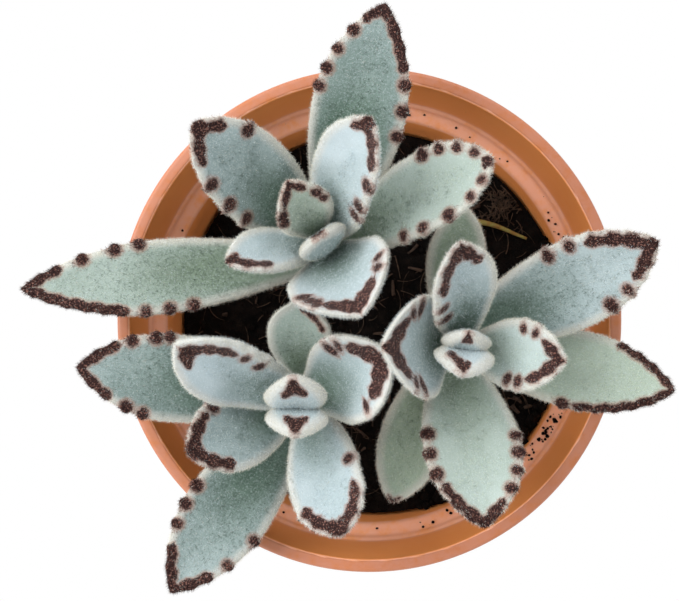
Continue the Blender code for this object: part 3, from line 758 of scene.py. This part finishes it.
def blade_finish():
    """Leaf skin under the felt: grey-green with pale down, and red-brown marks with ragged edges."""
    inputs = {"Roughness": 0.8, "Specular IOR Level": 0.25, "Sheen Weight": 0.15, "Sheen Roughness": 0.5}
    made, tree, shader = principled("leaf_blade", inputs)
    patches = ramp(tree, noise_value(tree, 70.0, 3.0), 0.35, 0.7)
    speckle = noise_value(tree, 2400.0, 3.0, 0.6)
    streak = noise_value(tree, 2100.0, 3.0, 0.65)
    young = mixed(tree, patches, (0.36, 0.43, 0.44), (0.46, 0.53, 0.55))
    # Old, low leaves are darker and greener: partly their own colour and partly painted shade
    old = mixed(tree, patches, (0.075, 0.125, 0.09), (0.125, 0.185, 0.145))
    # Painted shade: the skin turns to the darker old colour towards the leaf's base, the more on folded
    # leaves
    hollow = maths(tree, "MULTIPLY", ramp(tree, field(tree, "hollow"), 0.3, 1.1), 0.85)
    deepen = maths(tree, "ADD", maths(tree, "MULTIPLY", field(tree, "hollow"), 0.8), 0.5)
    age_and_shade = maths(tree, "MULTIPLY", field(tree, "green"), deepen)
    skin = mixed(tree, maths(tree, "ADD", age_and_shade, hollow, clamp=True), young, old)
    skin = mixed(tree, field(tree, "mint"), skin, (0.37, 0.435, 0.29))
    down = maths(tree, "MULTIPLY", ramp(tree, speckle, 0.45, 0.75), 0.4)
    skin = mixed(tree, down, skin, (0.48, 0.54, 0.55))
    pale = maths(tree, "MULTIPLY", ramp(tree, field(tree, "edge_mm"), 0.3, 2.6, invert=True), 0.7)
    skin = mixed(tree, pale, skin, (0.60, 0.57, 0.52))
    edge = maths(tree, "ADD", field(tree, "brown_mm"), maths(tree, "SUBTRACT", streak, 0.5))
    halo = maths(tree, "MULTIPLY", ramp(tree, edge, -0.9, 0.0), 0.6)
    skin = mixed(tree, halo, skin, (0.32, 0.16, 0.11))
    dark = mixed(tree, ramp(tree, speckle, 0.52, 0.66), (0.020, 0.005, 0.004), (0.27, 0.125, 0.095))
    set_inputs(tree, shader, {"Base Color": mixed(tree, ramp(tree, edge, -0.25, 0.35), skin, dark)})
    bump(tree, shader, speckle, 0.5, 0.15 * MM)
    return made


def hair_finish(name, colour, glow):
    """A fine translucent hair of one colour."""
    inputs = {"Base Color": colour, "Roughness": 0.55, "Specular IOR Level": 0.3}
    made, tree, shader = principled(name, inputs)
    through = add_node(tree, "ShaderNodeBsdfTranslucent", {"Color": colour})
    blend_shaders(tree, glow, shader, through)
    return made


def plastic_finish():
    """Moulded terracotta plastic: satin, with faint flow lines, a mottled painted highlight on the lip and
    ledge, and dirt; the inside is painted lighter than the outside as painted light.
    """
    made, tree, shader = principled("pot_plastic_fine", {"Specular IOR Level": 0.45})
    broad = ramp(tree, noise_value(tree, 22.0, 3.0), 0.3, 0.75)
    mottle = noise_value(tree, 260.0, 5.0, 0.65)
    specks = noise_value(tree, 1900.0, 2.0, 0.5)
    rings = noise_value(tree, 60.0, 2.0, 0.5, stretch=(0.2, 0.2, 14.0))
    outer = mixed(tree, broad, (0.48, 0.140, 0.036), (0.56, 0.175, 0.050))
    flow = maths(tree, "MULTIPLY", ramp(tree, rings, 0.5, 0.8), 0.18)
    outer = mixed(tree, flow, outer, (0.54, 0.23, 0.115))
    # Painted light: the inside is painted much lighter than the outside and the lip, though it is the same
    # plastic
    inner = mixed(tree, broad, (0.93, 0.325, 0.09), (0.97, 0.37, 0.115))
    colour = mixed(tree, field(tree, "inside"), outer, inner)
    # Painted highlight: a mottled pink band on the lip and the ledge, lighter inside the pot
    bloom = maths(tree, "MULTIPLY", ramp(tree, field(tree, "bloom"), 0.0, 1.0), ramp(tree, mottle, 0.2, 0.6))
    highlight_colour = mixed(tree, field(tree, "inside"), (0.51, 0.205, 0.13), (0.95, 0.50, 0.37))
    colour = mixed(tree, maths(tree, "MULTIPLY", bloom, 0.7), colour, highlight_colour)
    dirt = maths(tree, "MULTIPLY", ramp(tree, specks, 0.76, 0.80), field(tree, "dusty"))
    colour = mixed(tree, dirt, colour, (0.05, 0.025, 0.015))
    rough = maths(tree, "ADD", maths(tree, "MULTIPLY", mottle, 0.22), 0.36)
    set_inputs(tree, shader, {"Base Color": colour, "Roughness": rough})
    bump(tree, shader, maths(tree, "ADD", mottle, maths(tree, "MULTIPLY", rings, 1.5)), 0.10, 0.15 * MM)
    return made


def peat_finish():
    """Near-black matt peat with lumps and a few paler bits."""
    made, tree, shader = principled("peat", {"Roughness": 0.9, "Specular IOR Level": 0.1})
    lumps = noise_value(tree, 420.0, 6.0, 0.7)
    bits = noise_value(tree, 1400.0, 3.0, 0.6)
    colour = mixed(tree, ramp(tree, lumps, 0.35, 0.75), (0.0012, 0.0009, 0.0007), (0.009, 0.0055, 0.004))
    pale = maths(tree, "MULTIPLY", ramp(tree, bits, 0.62, 0.78), 0.5)
    set_inputs(tree, shader, {"Base Color": mixed(tree, pale, colour, (0.045, 0.029, 0.018))})
    bump(tree, shader, maths(tree, "ADD", lumps, bits), 0.9, 0.5 * MM)
    return made


def fibre_finish(name, dark, light):
    """Matt plant fibre or wood, grained between two colours."""
    made, tree, shader = principled(name, {"Roughness": 0.8, "Specular IOR Level": 0.2})
    grain = noise_value(tree, 700.0, 4.0, 0.6)
    set_inputs(tree, shader, {"Base Color": mixed(tree, ramp(tree, grain, 0.3, 0.7), dark, light)})
    bump(tree, shader, grain, 0.4, 0.1 * MM)
    return made


def bark_finish():
    """Stem bark, brown at the foot and grey-green towards the tip."""
    made, tree, shader = principled("stem_bark_fine", {"Roughness": 0.8})
    grain = noise_value(tree, 300.0, 5.0, 0.65, stretch=(1.0, 1.0, 0.3))
    blotches = ramp(tree, grain, 0.3, 0.7)
    low = mixed(tree, blotches, (0.12, 0.075, 0.045), (0.28, 0.20, 0.13))
    high = mixed(tree, blotches, (0.20, 0.26, 0.17), (0.34, 0.40, 0.30))
    set_inputs(tree, shader, {"Base Color": mixed(tree, field(tree, "height"), low, high)})
    bump(tree, shader, grain, 0.6, 0.3 * MM)
    return made


def polar(radius, angle):
    """Place (x, y) at a radius and compass angle in radians."""
    return radius * math.cos(angle), radius * math.sin(angle)


def arc(centre_r, centre_z, radius, start, end, steps):
    """Points of (radius, height) on an arc, in degrees counted from outwards to upwards."""
    angles = [math.radians(start + (end - start) * k / (steps - 1)) for k in range(steps)]
    return [(centre_r + radius * math.cos(a), centre_z + radius * math.sin(a)) for a in angles]


def near(radius, height, offsets):
    """Points of an outline, given in mm from one radius and height."""
    return [(radius + out * MM, height + up * MM) for out, up in offsets]


def straight(start, end, steps):
    """Points of an outline from start to end, both of them included."""
    return np.linspace(start, end, steps + 1).tolist()


def pot_outline():
    """Outline of wall and floor, from the middle of the foot up the outside and down the inside."""
    ring = FOOT_RADIUS - FOOT_RING_WIDTH
    beside_drains = near(DRAIN_CIRCLE, 0.0, ((-5.0, 0.0), (5.0, 0.0)))
    low, high = 2.4 * MM, COLLAR_Z - 1.5 * MM
    taper = (WALL_TOP_RADIUS - FOOT_RADIUS) / COLLAR_Z
    outline = [(0.0, 0.0)]
    outline += near(FOOT_DISC_RADIUS, 0.0, ((-0.3, 0.0), (0.1, 0.15)))
    outline += near(FOOT_DISC_RADIUS, FOOT_RECESS, ((0.8, 0.0), (1.2, 0.0)))
    outline += [(radius, FOOT_RECESS) for radius, _ in beside_drains]
    outline += near(ring, FOOT_RECESS, ((-0.4, 0.0), (0.0, 0.0)))
    outline += near(ring, 0.0, ((0.7, 0.2), (1.1, 0.0)))
    outline += arc(FOOT_RADIUS - FOOT_ROUNDING, FOOT_ROUNDING, FOOT_ROUNDING, -90, -8, 8)
    outline += straight((FOOT_RADIUS + taper * low, low), (FOOT_RADIUS + taper * high, high), 24)[1:]
    outline += near(WALL_TOP_RADIUS, COLLAR_Z, ((0.35, -0.6),))
    outline += arc(COLLAR_RADIUS - 0.2 * MM, COLLAR_Z + COLLAR_ROUNDING, COLLAR_ROUNDING, -90, 0, 8)
    collar_foot = (COLLAR_RADIUS + 0.7 * MM, COLLAR_Z + 1.2 * MM)
    outline += straight(collar_foot, (RIM_RADIUS - 0.5 * MM, RIM_Z - 2.6 * MM), 12)[1:-1]
    outline += arc(RIM_RADIUS - RIM_ROUNDING, RIM_Z - RIM_ROUNDING, RIM_ROUNDING, -30, 90, 12)
    outline += near(LIP_INSIDE, RIM_Z, ((1.6, 0.0),))
    outline += arc(LIP_INSIDE + LIP_ROUNDING, RIM_Z - LIP_ROUNDING, LIP_ROUNDING, 90, 180, 10)
    below_lip = (LIP_INSIDE, RIM_Z - 1.4 * MM)
    outline += straight(below_lip, (LEDGE_OUTSIDE, RIM_Z - 15.8 * MM), 10)[1:-1]
    outline += near(LEDGE_OUTSIDE, LEDGE_Z, ((0.0, 0.35), (-0.05, 0.2), (-0.5, -0.15), (-0.85, -0.7)))
    outline += near(LEDGE_OUTSIDE, LEDGE_Z, ((-1.0, -1.5), (-1.3, -2.1), (-1.9, -2.45)))
    outline += near(LEDGE_INSIDE, LEDGE_Z, ((1.2, -2.6), (0.5, -2.75), (0.1, -3.0), (-0.2, -3.5)))
    outline += straight(INNER_WALL_TOP, INNER_WALL_FOOT, 15)
    outline += near(*INNER_WALL_FOOT, ((-0.5, -1.0), (-1.5, -1.5)))
    outline += [(radius, FLOOR_Z) for radius, _ in reversed(beside_drains)]
    outline += [(0.0, FLOOR_Z)]
    return outline


def round_body(name, rows, start_z, end_z, finish):
    """A closed body from rings of points round the axis, with a fan to the axis at each end."""
    rings, around = rows.shape[:2]
    obj = new_mesh_object(name, rows.reshape(-1, 3), grid_faces(rings, around), [finish])
    bm = bmesh.new()
    bm.from_mesh(obj.data)
    verts = list(bm.verts)
    for first, height in ((0, start_z), ((rings - 1) * around, end_z)):
        middle = bm.verts.new((0.0, 0.0, height))
        for k in range(around):
            bm.faces.new((verts[first + k], verts[first + (k + 1) % around], middle))
    bmesh.ops.recalc_face_normals(bm, faces=bm.faces)
    bm.to_mesh(obj.data)
    bm.free()
    obj.data.shade_smooth()
    return obj


def build_pot(finish):
    """The pot, turned from its outline, with drain holes cut through the floor."""
    outline = np.array(pot_outline())
    angle = np.linspace(0, 2 * np.pi, POT_SEGMENTS, endpoint=False)
    ring = np.stack([np.cos(angle), np.sin(angle)], 1)
    inner = outline[1:-1, None]
    rows = np.concatenate([inner[..., :1] * ring, np.repeat(inner[..., 1:], POT_SEGMENTS, 1)], 2)
    pot = round_body("pot_fine", rows, outline[0, 1], outline[-1, 1], finish)
    drains = bmesh.new()
    for k in range(DRAIN_HOLES):
        where = Matrix.Translation((*polar(DRAIN_CIRCLE, 2 * math.pi * k / DRAIN_HOLES), 3 * MM))
        bmesh.ops.create_cone(
            drains,
            cap_ends=True,
            segments=DRAIN_SEGMENTS,
            radius1=DRAIN_RADIUS,
            radius2=DRAIN_RADIUS,
            depth=DRAIN_CUTTER_LENGTH,
            matrix=where,
        )
    mesh = bpy.data.meshes.new("drains")
    drains.to_mesh(mesh)
    drains.free()
    cutter = bpy.data.objects.new("drains", mesh)
    bpy.context.scene.collection.objects.link(cutter)
    cut = pot.modifiers.new("cut", "BOOLEAN")
    cut.solver = "EXACT"
    cut.object = cutter
    graph = bpy.context.evaluated_depsgraph_get()
    pot.data = bpy.data.meshes.new_from_object(pot.evaluated_get(graph), depsgraph=graph)
    pot.modifiers.clear()
    bpy.data.objects.remove(cutter)
    pot.data.shade_smooth()
    pot.data.set_sharp_from_angle(angle=SHARP_EDGE_ANGLE)
    add_pot_fields(pot.data)
    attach(pot, "root")
    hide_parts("pot")


def add_pot_fields(mesh):
    """Where the plastic has a painted highlight, where dirt lies on it, and what is inside the pot, which
    painted light makes lighter.
    """
    co = np.empty(len(mesh.vertices) * 3, np.float32)
    mesh.vertices.foreach_get("co", co)
    co = co.reshape(-1, 3)
    radius = np.hypot(co[:, 0], co[:, 1])
    height = co[:, 2]
    lip = LIP_INSIDE + 0.2 * MM
    on_lip = (height > RIM_Z - 1.3 * MM) & (radius > lip)
    on_ledge = (np.abs(height - (LEDGE_Z - 1.5 * MM)) < 2.2 * MM) & (radius < RIM_RADIUS - 5 * MM)
    below_lip = (radius < lip) & (height > LEDGE_Z - 9 * MM)
    below_collar = height < COLLAR_Z + 0.5 * MM
    reach = np.where(below_collar, inner_wall_radius(height), LIP_INSIDE) + 0.5 * MM
    fields = {
        # painted highlight on the lip and the ledge
        "bloom": np.maximum(on_lip * 1.0, on_ledge * 0.9),
        "dusty": np.maximum(on_ledge * 1.0, below_lip * 0.5),
        # inside: where the plastic is painted lighter, as painted light
        "inside": (radius < reach) & (height < RIM_Z - 0.1 * MM) & (height > FOOT_RECESS + 1 * MM),
    }
    add_fields(mesh, fields)


def inner_wall_radius(height):
    """Inner radius of the pot below the ledge, at a height."""
    (top_radius, top), (foot_radius, foot) = INNER_WALL_TOP, INNER_WALL_FOOT
    return foot_radius + (top_radius - foot_radius) * (height - foot) / (top - foot)


def soil_slope(angle):
    """How far the soil at the wall lies above its middle, at a compass angle in radians."""
    return SOIL_RISE * math.cos(angle - SOIL_HIGH_AT)


def soil_top(x, y):
    """Height of the soil's surface: it slopes up to the front right, with lumps and grains."""
    where = Vector((x, y, 0.0)) / SOIL_LUMP_SPACING
    lumps = SOIL_LUMP * noise.fractal(where, 0.9, 2.1, 6, noise_basis="PERLIN_ORIGINAL")
    return SOIL_Z + soil_slope(math.atan2(y, x)) * math.hypot(x, y) / RIM_RADIUS + lumps


def build_soil(finish):
    """The soil's body, its surface broken into clods and grains."""
    angle = np.linspace(0, 2 * np.pi, SOIL_SEGMENTS, endpoint=False)
    reach = [inner_wall_radius(SOIL_Z + soil_slope(a)) - 2 * SOIL_GAP for a in angle]
    rows = []
    for k in range(1, SOIL_RINGS + 1):
        row = []
        for a, wall in zip(angle, reach):
            x, y = polar(wall * k / SOIL_RINGS, a)
            row.append((x, y, soil_top(x, y)))
        rows.append(row)
    foot = FOOT_RADIUS - WALL - SOIL_FOOT_INSET - 2 * SOIL_GAP
    low = FLOOR_Z + SOIL_GAP
    rows.append([(*polar(foot, a), low) for a in angle])
    soil = round_body("soil_fine", np.array(rows), soil_top(0.0, 0.0), low, finish)
    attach(soil, "root")
    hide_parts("soil")


def lump(draw, centre, size):
    """Points and faces of one uneven crumb."""
    bm = bmesh.new()
    bmesh.ops.create_icosphere(bm, subdivisions=2, radius=1.0)
    offset = Vector(draw.uniform(-50, 50, 3))
    stretch = draw.uniform(0.6, 1.2, 3)
    turn = Matrix.Rotation(draw.uniform(0, 6.28), 3, Vector(draw.normal(0, 1, 3)).normalized())
    for vert in bm.verts:
        rough = 1 + 0.45 * noise.noise(vert.co * 1.3 + offset) + 0.2 * noise.noise(vert.co * 3.5 + offset)
        shaped = Vector(part * share for part, share in zip(vert.co, stretch)) * rough * size
        vert.co = turn @ shaped + Vector(centre)
    points = np.array([v.co for v in bm.verts])
    faces = np.array([[v.index for v in f.verts] for f in bm.faces])
    bm.free()
    return points, faces


def joined(parts):
    """One set of points and faces from several."""
    points, faces, start = [], [], 0
    for p, f in parts:
        points.append(p)
        faces.append(f + start)
        start += len(p)
    return np.concatenate(points), np.concatenate(faces)


def tube(path, radii, sides):
    """Points and triangles of a thin closed tube along a path."""
    path = np.array(path)
    ahead = np.gradient(path, axis=0)
    ahead /= np.linalg.norm(ahead, axis=1, keepdims=True)
    side = np.cross(ahead, (0.13, 0.21, 0.97))
    side /= np.linalg.norm(side, axis=1, keepdims=True)
    up = np.cross(side, ahead)
    angle = np.linspace(0, 2 * np.pi, sides, endpoint=False)
    ring = side[:, None] * np.cos(angle)[None, :, None] + up[:, None] * np.sin(angle)[None, :, None]
    points = (path[:, None] + ring * np.array(radii)[:, None, None]).reshape(-1, 3)
    quads = grid_faces(len(path), sides)
    faces = np.concatenate([quads[:, [0, 1, 2]], quads[:, [0, 2, 3]]])
    caps = [[0, k, k + 1] for k in range(1, sides - 1)]
    last = (len(path) - 1) * sides
    caps += [[last, last + k + 1, last + k] for k in range(1, sides - 1)]
    return points, np.concatenate([faces, np.array(caps)])


def scatter_on_soil(draw):
    """A random place on the soil."""
    radius = inner_wall_radius(SOIL_Z) * 0.93 * math.sqrt(draw.random())
    angle = draw.uniform(0, 2 * np.pi)
    return polar(radius, angle)


def build_litter(peat):
    """Clods, fibres, a twig and bark flakes on the soil, and crumbs on the pot's ledge."""
    draw = np.random.default_rng(SEED + 1)
    fibrous = fibre_finish("peat_fibre", (0.018, 0.011, 0.007), (0.085, 0.052, 0.033))
    flaky = fibre_finish("bark_flake", (0.018, 0.011, 0.008), (0.075, 0.047, 0.032))
    woody = fibre_finish("twig", (0.24, 0.13, 0.035), (0.26, 0.24, 0.07))
    place_litter("soil_clods", soil_clods(draw), peat)
    place_litter("soil_fibres", strewn_fibres(draw, FIBRES), fibrous)
    place_litter("soil_bark_flakes", strewn_fibres(draw, BARK_FLAKES), flaky)
    place_litter("soil_twig", [twig()], woody)
    place_litter("ledge_crumbs", ledge_crumbs(draw), peat)


def place_litter(name, parts, finish):
    """One piece of litter from its parts."""
    points, faces = joined(parts)
    obj = new_mesh_object(name, points, faces, [finish])
    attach(obj, "root")


def soil_clods(draw):
    """Loose clods, and others heaped against the wall at the right and the front right."""
    parts = []
    for _ in range(LOOSE_CLODS):
        x, y = scatter_on_soil(draw)
        size = draw.uniform(0.5, 1.9) * MM * draw.uniform(0.6, 1.0)
        parts.append(lump(draw, (x, y, soil_top(x, y) + 0.25 * size), size))
    for _ in range(BANKED_CLODS):
        angle = draw.uniform(math.radians(-75), math.radians(25))
        size = draw.uniform(0.8, 2.2) * MM
        height = SOIL_Z + soil_slope(angle) * 0.8 + draw.uniform(0.0, 2.6) * MM
        radius = inner_wall_radius(height) - size * draw.uniform(1.0, 1.3)
        parts.append(lump(draw, (*polar(radius, angle), height), size))
    return parts


def strewn_fibres(draw, sorts):
    """Fibres strewn over the soil, or heaped round one place of it."""
    parts = []
    for count, lengths, radii, heap in sorts:
        for _ in range(count):
            if heap:
                x, y = (draw.normal(middle, FIBRE_HEAP_SPREAD_MM) * MM for middle in heap)
            else:
                x, y = scatter_on_soil(draw)
            parts.append(fibre(draw, x, y, draw.uniform(*lengths) * MM, draw.uniform(*radii) * MM))
    return parts


def fibre(draw, x, y, length, radius):
    """A bent fibre that lies on the soil."""
    heading = draw.uniform(0, 2 * np.pi)
    bendiness = draw.uniform(-1.6, 1.6)
    path = []
    limit = inner_wall_radius(SOIL_Z) - 1.5 * MM
    for k in range(FIBRE_STEPS):
        away = math.hypot(x, y)
        if away > limit:
            x, y = x * limit / away, y * limit / away
        arched = 1.2 * math.sin(math.pi * k / (FIBRE_STEPS - 1)) * draw.random()
        path.append((x, y, soil_top(x, y) + radius + (0.3 + arched) * 0.7 * MM))
        heading += bendiness / FIBRE_STEPS
        x += math.cos(heading) * length / FIBRE_STEPS
        y += math.sin(heading) * length / FIBRE_STEPS
    radii = [radius * (1 - 0.5 * k / FIBRE_STEPS) for k in range(FIBRE_STEPS)]
    return tube(path, radii, 5)


def twig():
    """The pale twig that lies between the upper and the right stem."""
    start, end = TWIG_ENDS
    path, radii = [], []
    for k in range(TWIG_STEPS + 1):
        share = k / TWIG_STEPS
        x = start[0] + (end[0] - start[0]) * share
        y = start[1] + (end[1] - start[1]) * share + 0.5 * MM * math.sin(share * 4)
        path.append((x, y, soil_top(x, y) + 1.5 * MM))
        radii.append((0.85 - 0.45 * share) * MM)
    return tube(path, radii, 8)


def ledge_crumbs(draw):
    """Peat crumbs on the ledge, thickest at the right where the soil is highest."""
    parts = []
    for _ in range(LEDGE_CRUMBS):
        angle = draw.normal(-0.25, 0.75) if draw.random() < 0.8 else draw.uniform(0, 2 * np.pi)
        parts.append(ledge_crumb(draw, angle, draw.uniform(-1.5, 1.5), draw.uniform(0.10, 0.42)))
    for middle, spread, count, biggest in LEDGE_HEAPS:
        for _ in range(count):
            angle = math.radians(draw.normal(middle, spread))
            parts.append(ledge_crumb(draw, angle, draw.normal(0.3, 0.8), draw.uniform(0.15, biggest)))
    return parts


def ledge_crumb(draw, angle, off_middle, size):
    """One crumb at an angle of the ledge; how far off its middle line and the size are in mm."""
    radius = LEDGE_OUTSIDE - 0.62 * LEDGE_WIDTH + off_middle * MM
    height = LEDGE_Z - 2.5 * MM + 0.5 * size * MM
    return lump(draw, (*polar(radius, angle), height), size * MM)


def level_ring(centre, angle, radius):
    """A level ring of points round a centre."""
    return centre + np.stack([np.cos(angle) * radius, np.sin(angle) * radius, np.zeros(len(angle))], 1)


def build_stems(finish):
    """The three stems, a little uneven, with scars on their lower part and rounded tips."""
    angle = np.linspace(0, 2 * np.pi, STEM_SIDES, endpoint=False)
    for stem in STEMS:
        top = STEMS[stem][2] * MM
        rings = []
        for height in np.linspace(SOIL_Z - RIM_Z - STEM_SUNK, top, STEM_LEVELS):
            scar = SCAR_HEIGHT * max(0.0, math.cos(height / SCAR_SPACING * 2 * math.pi)) ** 6
            wobble = STEM_UNEVENNESS * np.sin(3 * angle + height / MM * 0.9)
            outer = stem_radius(stem, height)
            radius = np.minimum(outer - STEM_UNEVENNESS + scar * (height < SCARS_BELOW) + wobble, outer)
            rings.append(level_ring(stem_axis(stem, height), angle, radius))
        for share in STEM_TIP_SHARES:
            radius = STEM_TOP_RADIUS * math.sqrt(1 - share**2)
            rings.append(level_ring(stem_axis(stem, top + STEM_TIP_HEIGHT * share), angle, radius))
        points = np.array(rings).reshape(-1, 3)
        fields = {"height": np.repeat(np.linspace(0, 1, len(rings)) ** 1.5, STEM_SIDES)}
        faces = grid_faces(len(rings), STEM_SIDES)
        obj = new_mesh_object("stem_fine_" + stem, points, faces, [finish], fields=fields)
        close_ends(obj, STEM_SIDES, len(rings))
        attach(obj, "root")
        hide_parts("stem_" + stem)


def add_camera():
    """A camera above the pot, with up in the picture along +Y."""
    camera = bpy.data.objects.new("camera", bpy.data.cameras.new("camera"))
    camera.data.lens = SENSOR_MM * FOCAL_PIXELS / PHOTO_WIDTH
    camera.data.sensor_width = SENSOR_MM
    camera.data.clip_start = 10 * MM
    camera.location = CAMERA_AT
    back = (Vector(CAMERA_AT) - Vector(CAMERA_TARGET)).normalized()
    right = Vector((0.0, 1.0, 0.0)).cross(back).normalized()
    upwards = back.cross(right)
    camera.rotation_euler = Matrix((right, upwards, back)).transposed().to_euler()
    bpy.context.scene.collection.objects.link(camera)
    bpy.context.scene.camera = camera


def add_lamp(name, azimuth, elevation, distance, size, power, colour):
    """A round soft lamp that is aimed at the leaves."""
    lamp = bpy.data.lights.new(name, "AREA")
    lamp.shape = "DISK"
    lamp.size = size
    lamp.energy = power
    lamp.color = colour
    obj = bpy.data.objects.new(name, lamp)
    a, e = math.radians(azimuth), math.radians(elevation)
    aim = Vector((0.0, 0.0, 0.1))
    away = Vector((math.cos(a) * math.cos(e), math.sin(a) * math.cos(e), math.sin(e)))
    obj.location = aim + away * distance
    obj.rotation_euler = away.to_track_quat("Z", "Y").to_euler()
    bpy.context.scene.collection.objects.link(obj)


def add_world():
    """Pale light from all round; seen directly it is plain white."""
    world = bpy.data.worlds.new("white_room")
    bpy.context.scene.world = world
    world.use_nodes = True
    tree = world.node_tree
    background = tree.nodes["Background"]
    set_inputs(tree, background, {"Color": SKY_COLOUR, "Strength": SKY_STRENGTH})
    seen = add_node(tree, "ShaderNodeBackground", {"Color": (1.0, 1.0, 1.0)})
    path = add_node(tree, "ShaderNodeLightPath", {})
    blend_shaders(tree, path.outputs["Is Camera Ray"], background, seen, "World Output")


def add_floor():
    """A white floor that fades into the white around it, shaded only close to the pot's foot."""
    where = (0, 0, -FLOOR_BELOW)
    bpy.ops.mesh.primitive_circle_add(vertices=96, radius=FLOOR_RADIUS, fill_type="NGON", location=where)
    floor = bpy.context.active_object
    floor.name = "floor"
    made, tree, shader = principled("floor_white", {"Base Color": (0.9, 0.9, 0.9), "Roughness": 0.9})
    glow = add_node(tree, "ShaderNodeEmission", {})
    place = add_node(tree, "ShaderNodeTexCoord", {}).outputs["Object"]
    length = add_node(tree, "ShaderNodeVectorMath", {0: place}, operation="LENGTH")
    path = add_node(tree, "ShaderNodeLightPath", {})
    outside = ramp(tree, length.outputs["Value"], *FLOOR_SHADED_TO)
    blend_shaders(tree, maths(tree, "MULTIPLY", outside, path.outputs["Is Camera Ray"]), shader, glow)
    floor.data.materials.append(made)


def build_all():
    """Camera, light and floor, then every piece of the plant and its pot."""
    add_camera()
    add_world()
    for lamp in LAMPS:
        add_lamp(*lamp)
    add_floor()
    peat = peat_finish()
    build_pot(plastic_finish())
    build_soil(peat)
    build_litter(peat)
    build_stems(bark_finish())
    skin = blade_finish()
    hairs = [hair_finish("felt_" + kind, *look) for kind, look in HAIRS.items()]
    for stem, leaves in LEAVES.items():
        for leaf in leaves:
            build_leaf(stem, leaf, skin, hairs)
    settings = bpy.context.scene.view_settings
    settings.view_transform = "Standard"
    settings.look = "None"


bpy.ops.object.select_all(action="SELECT")
bpy.ops.object.delete()
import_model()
build_all()
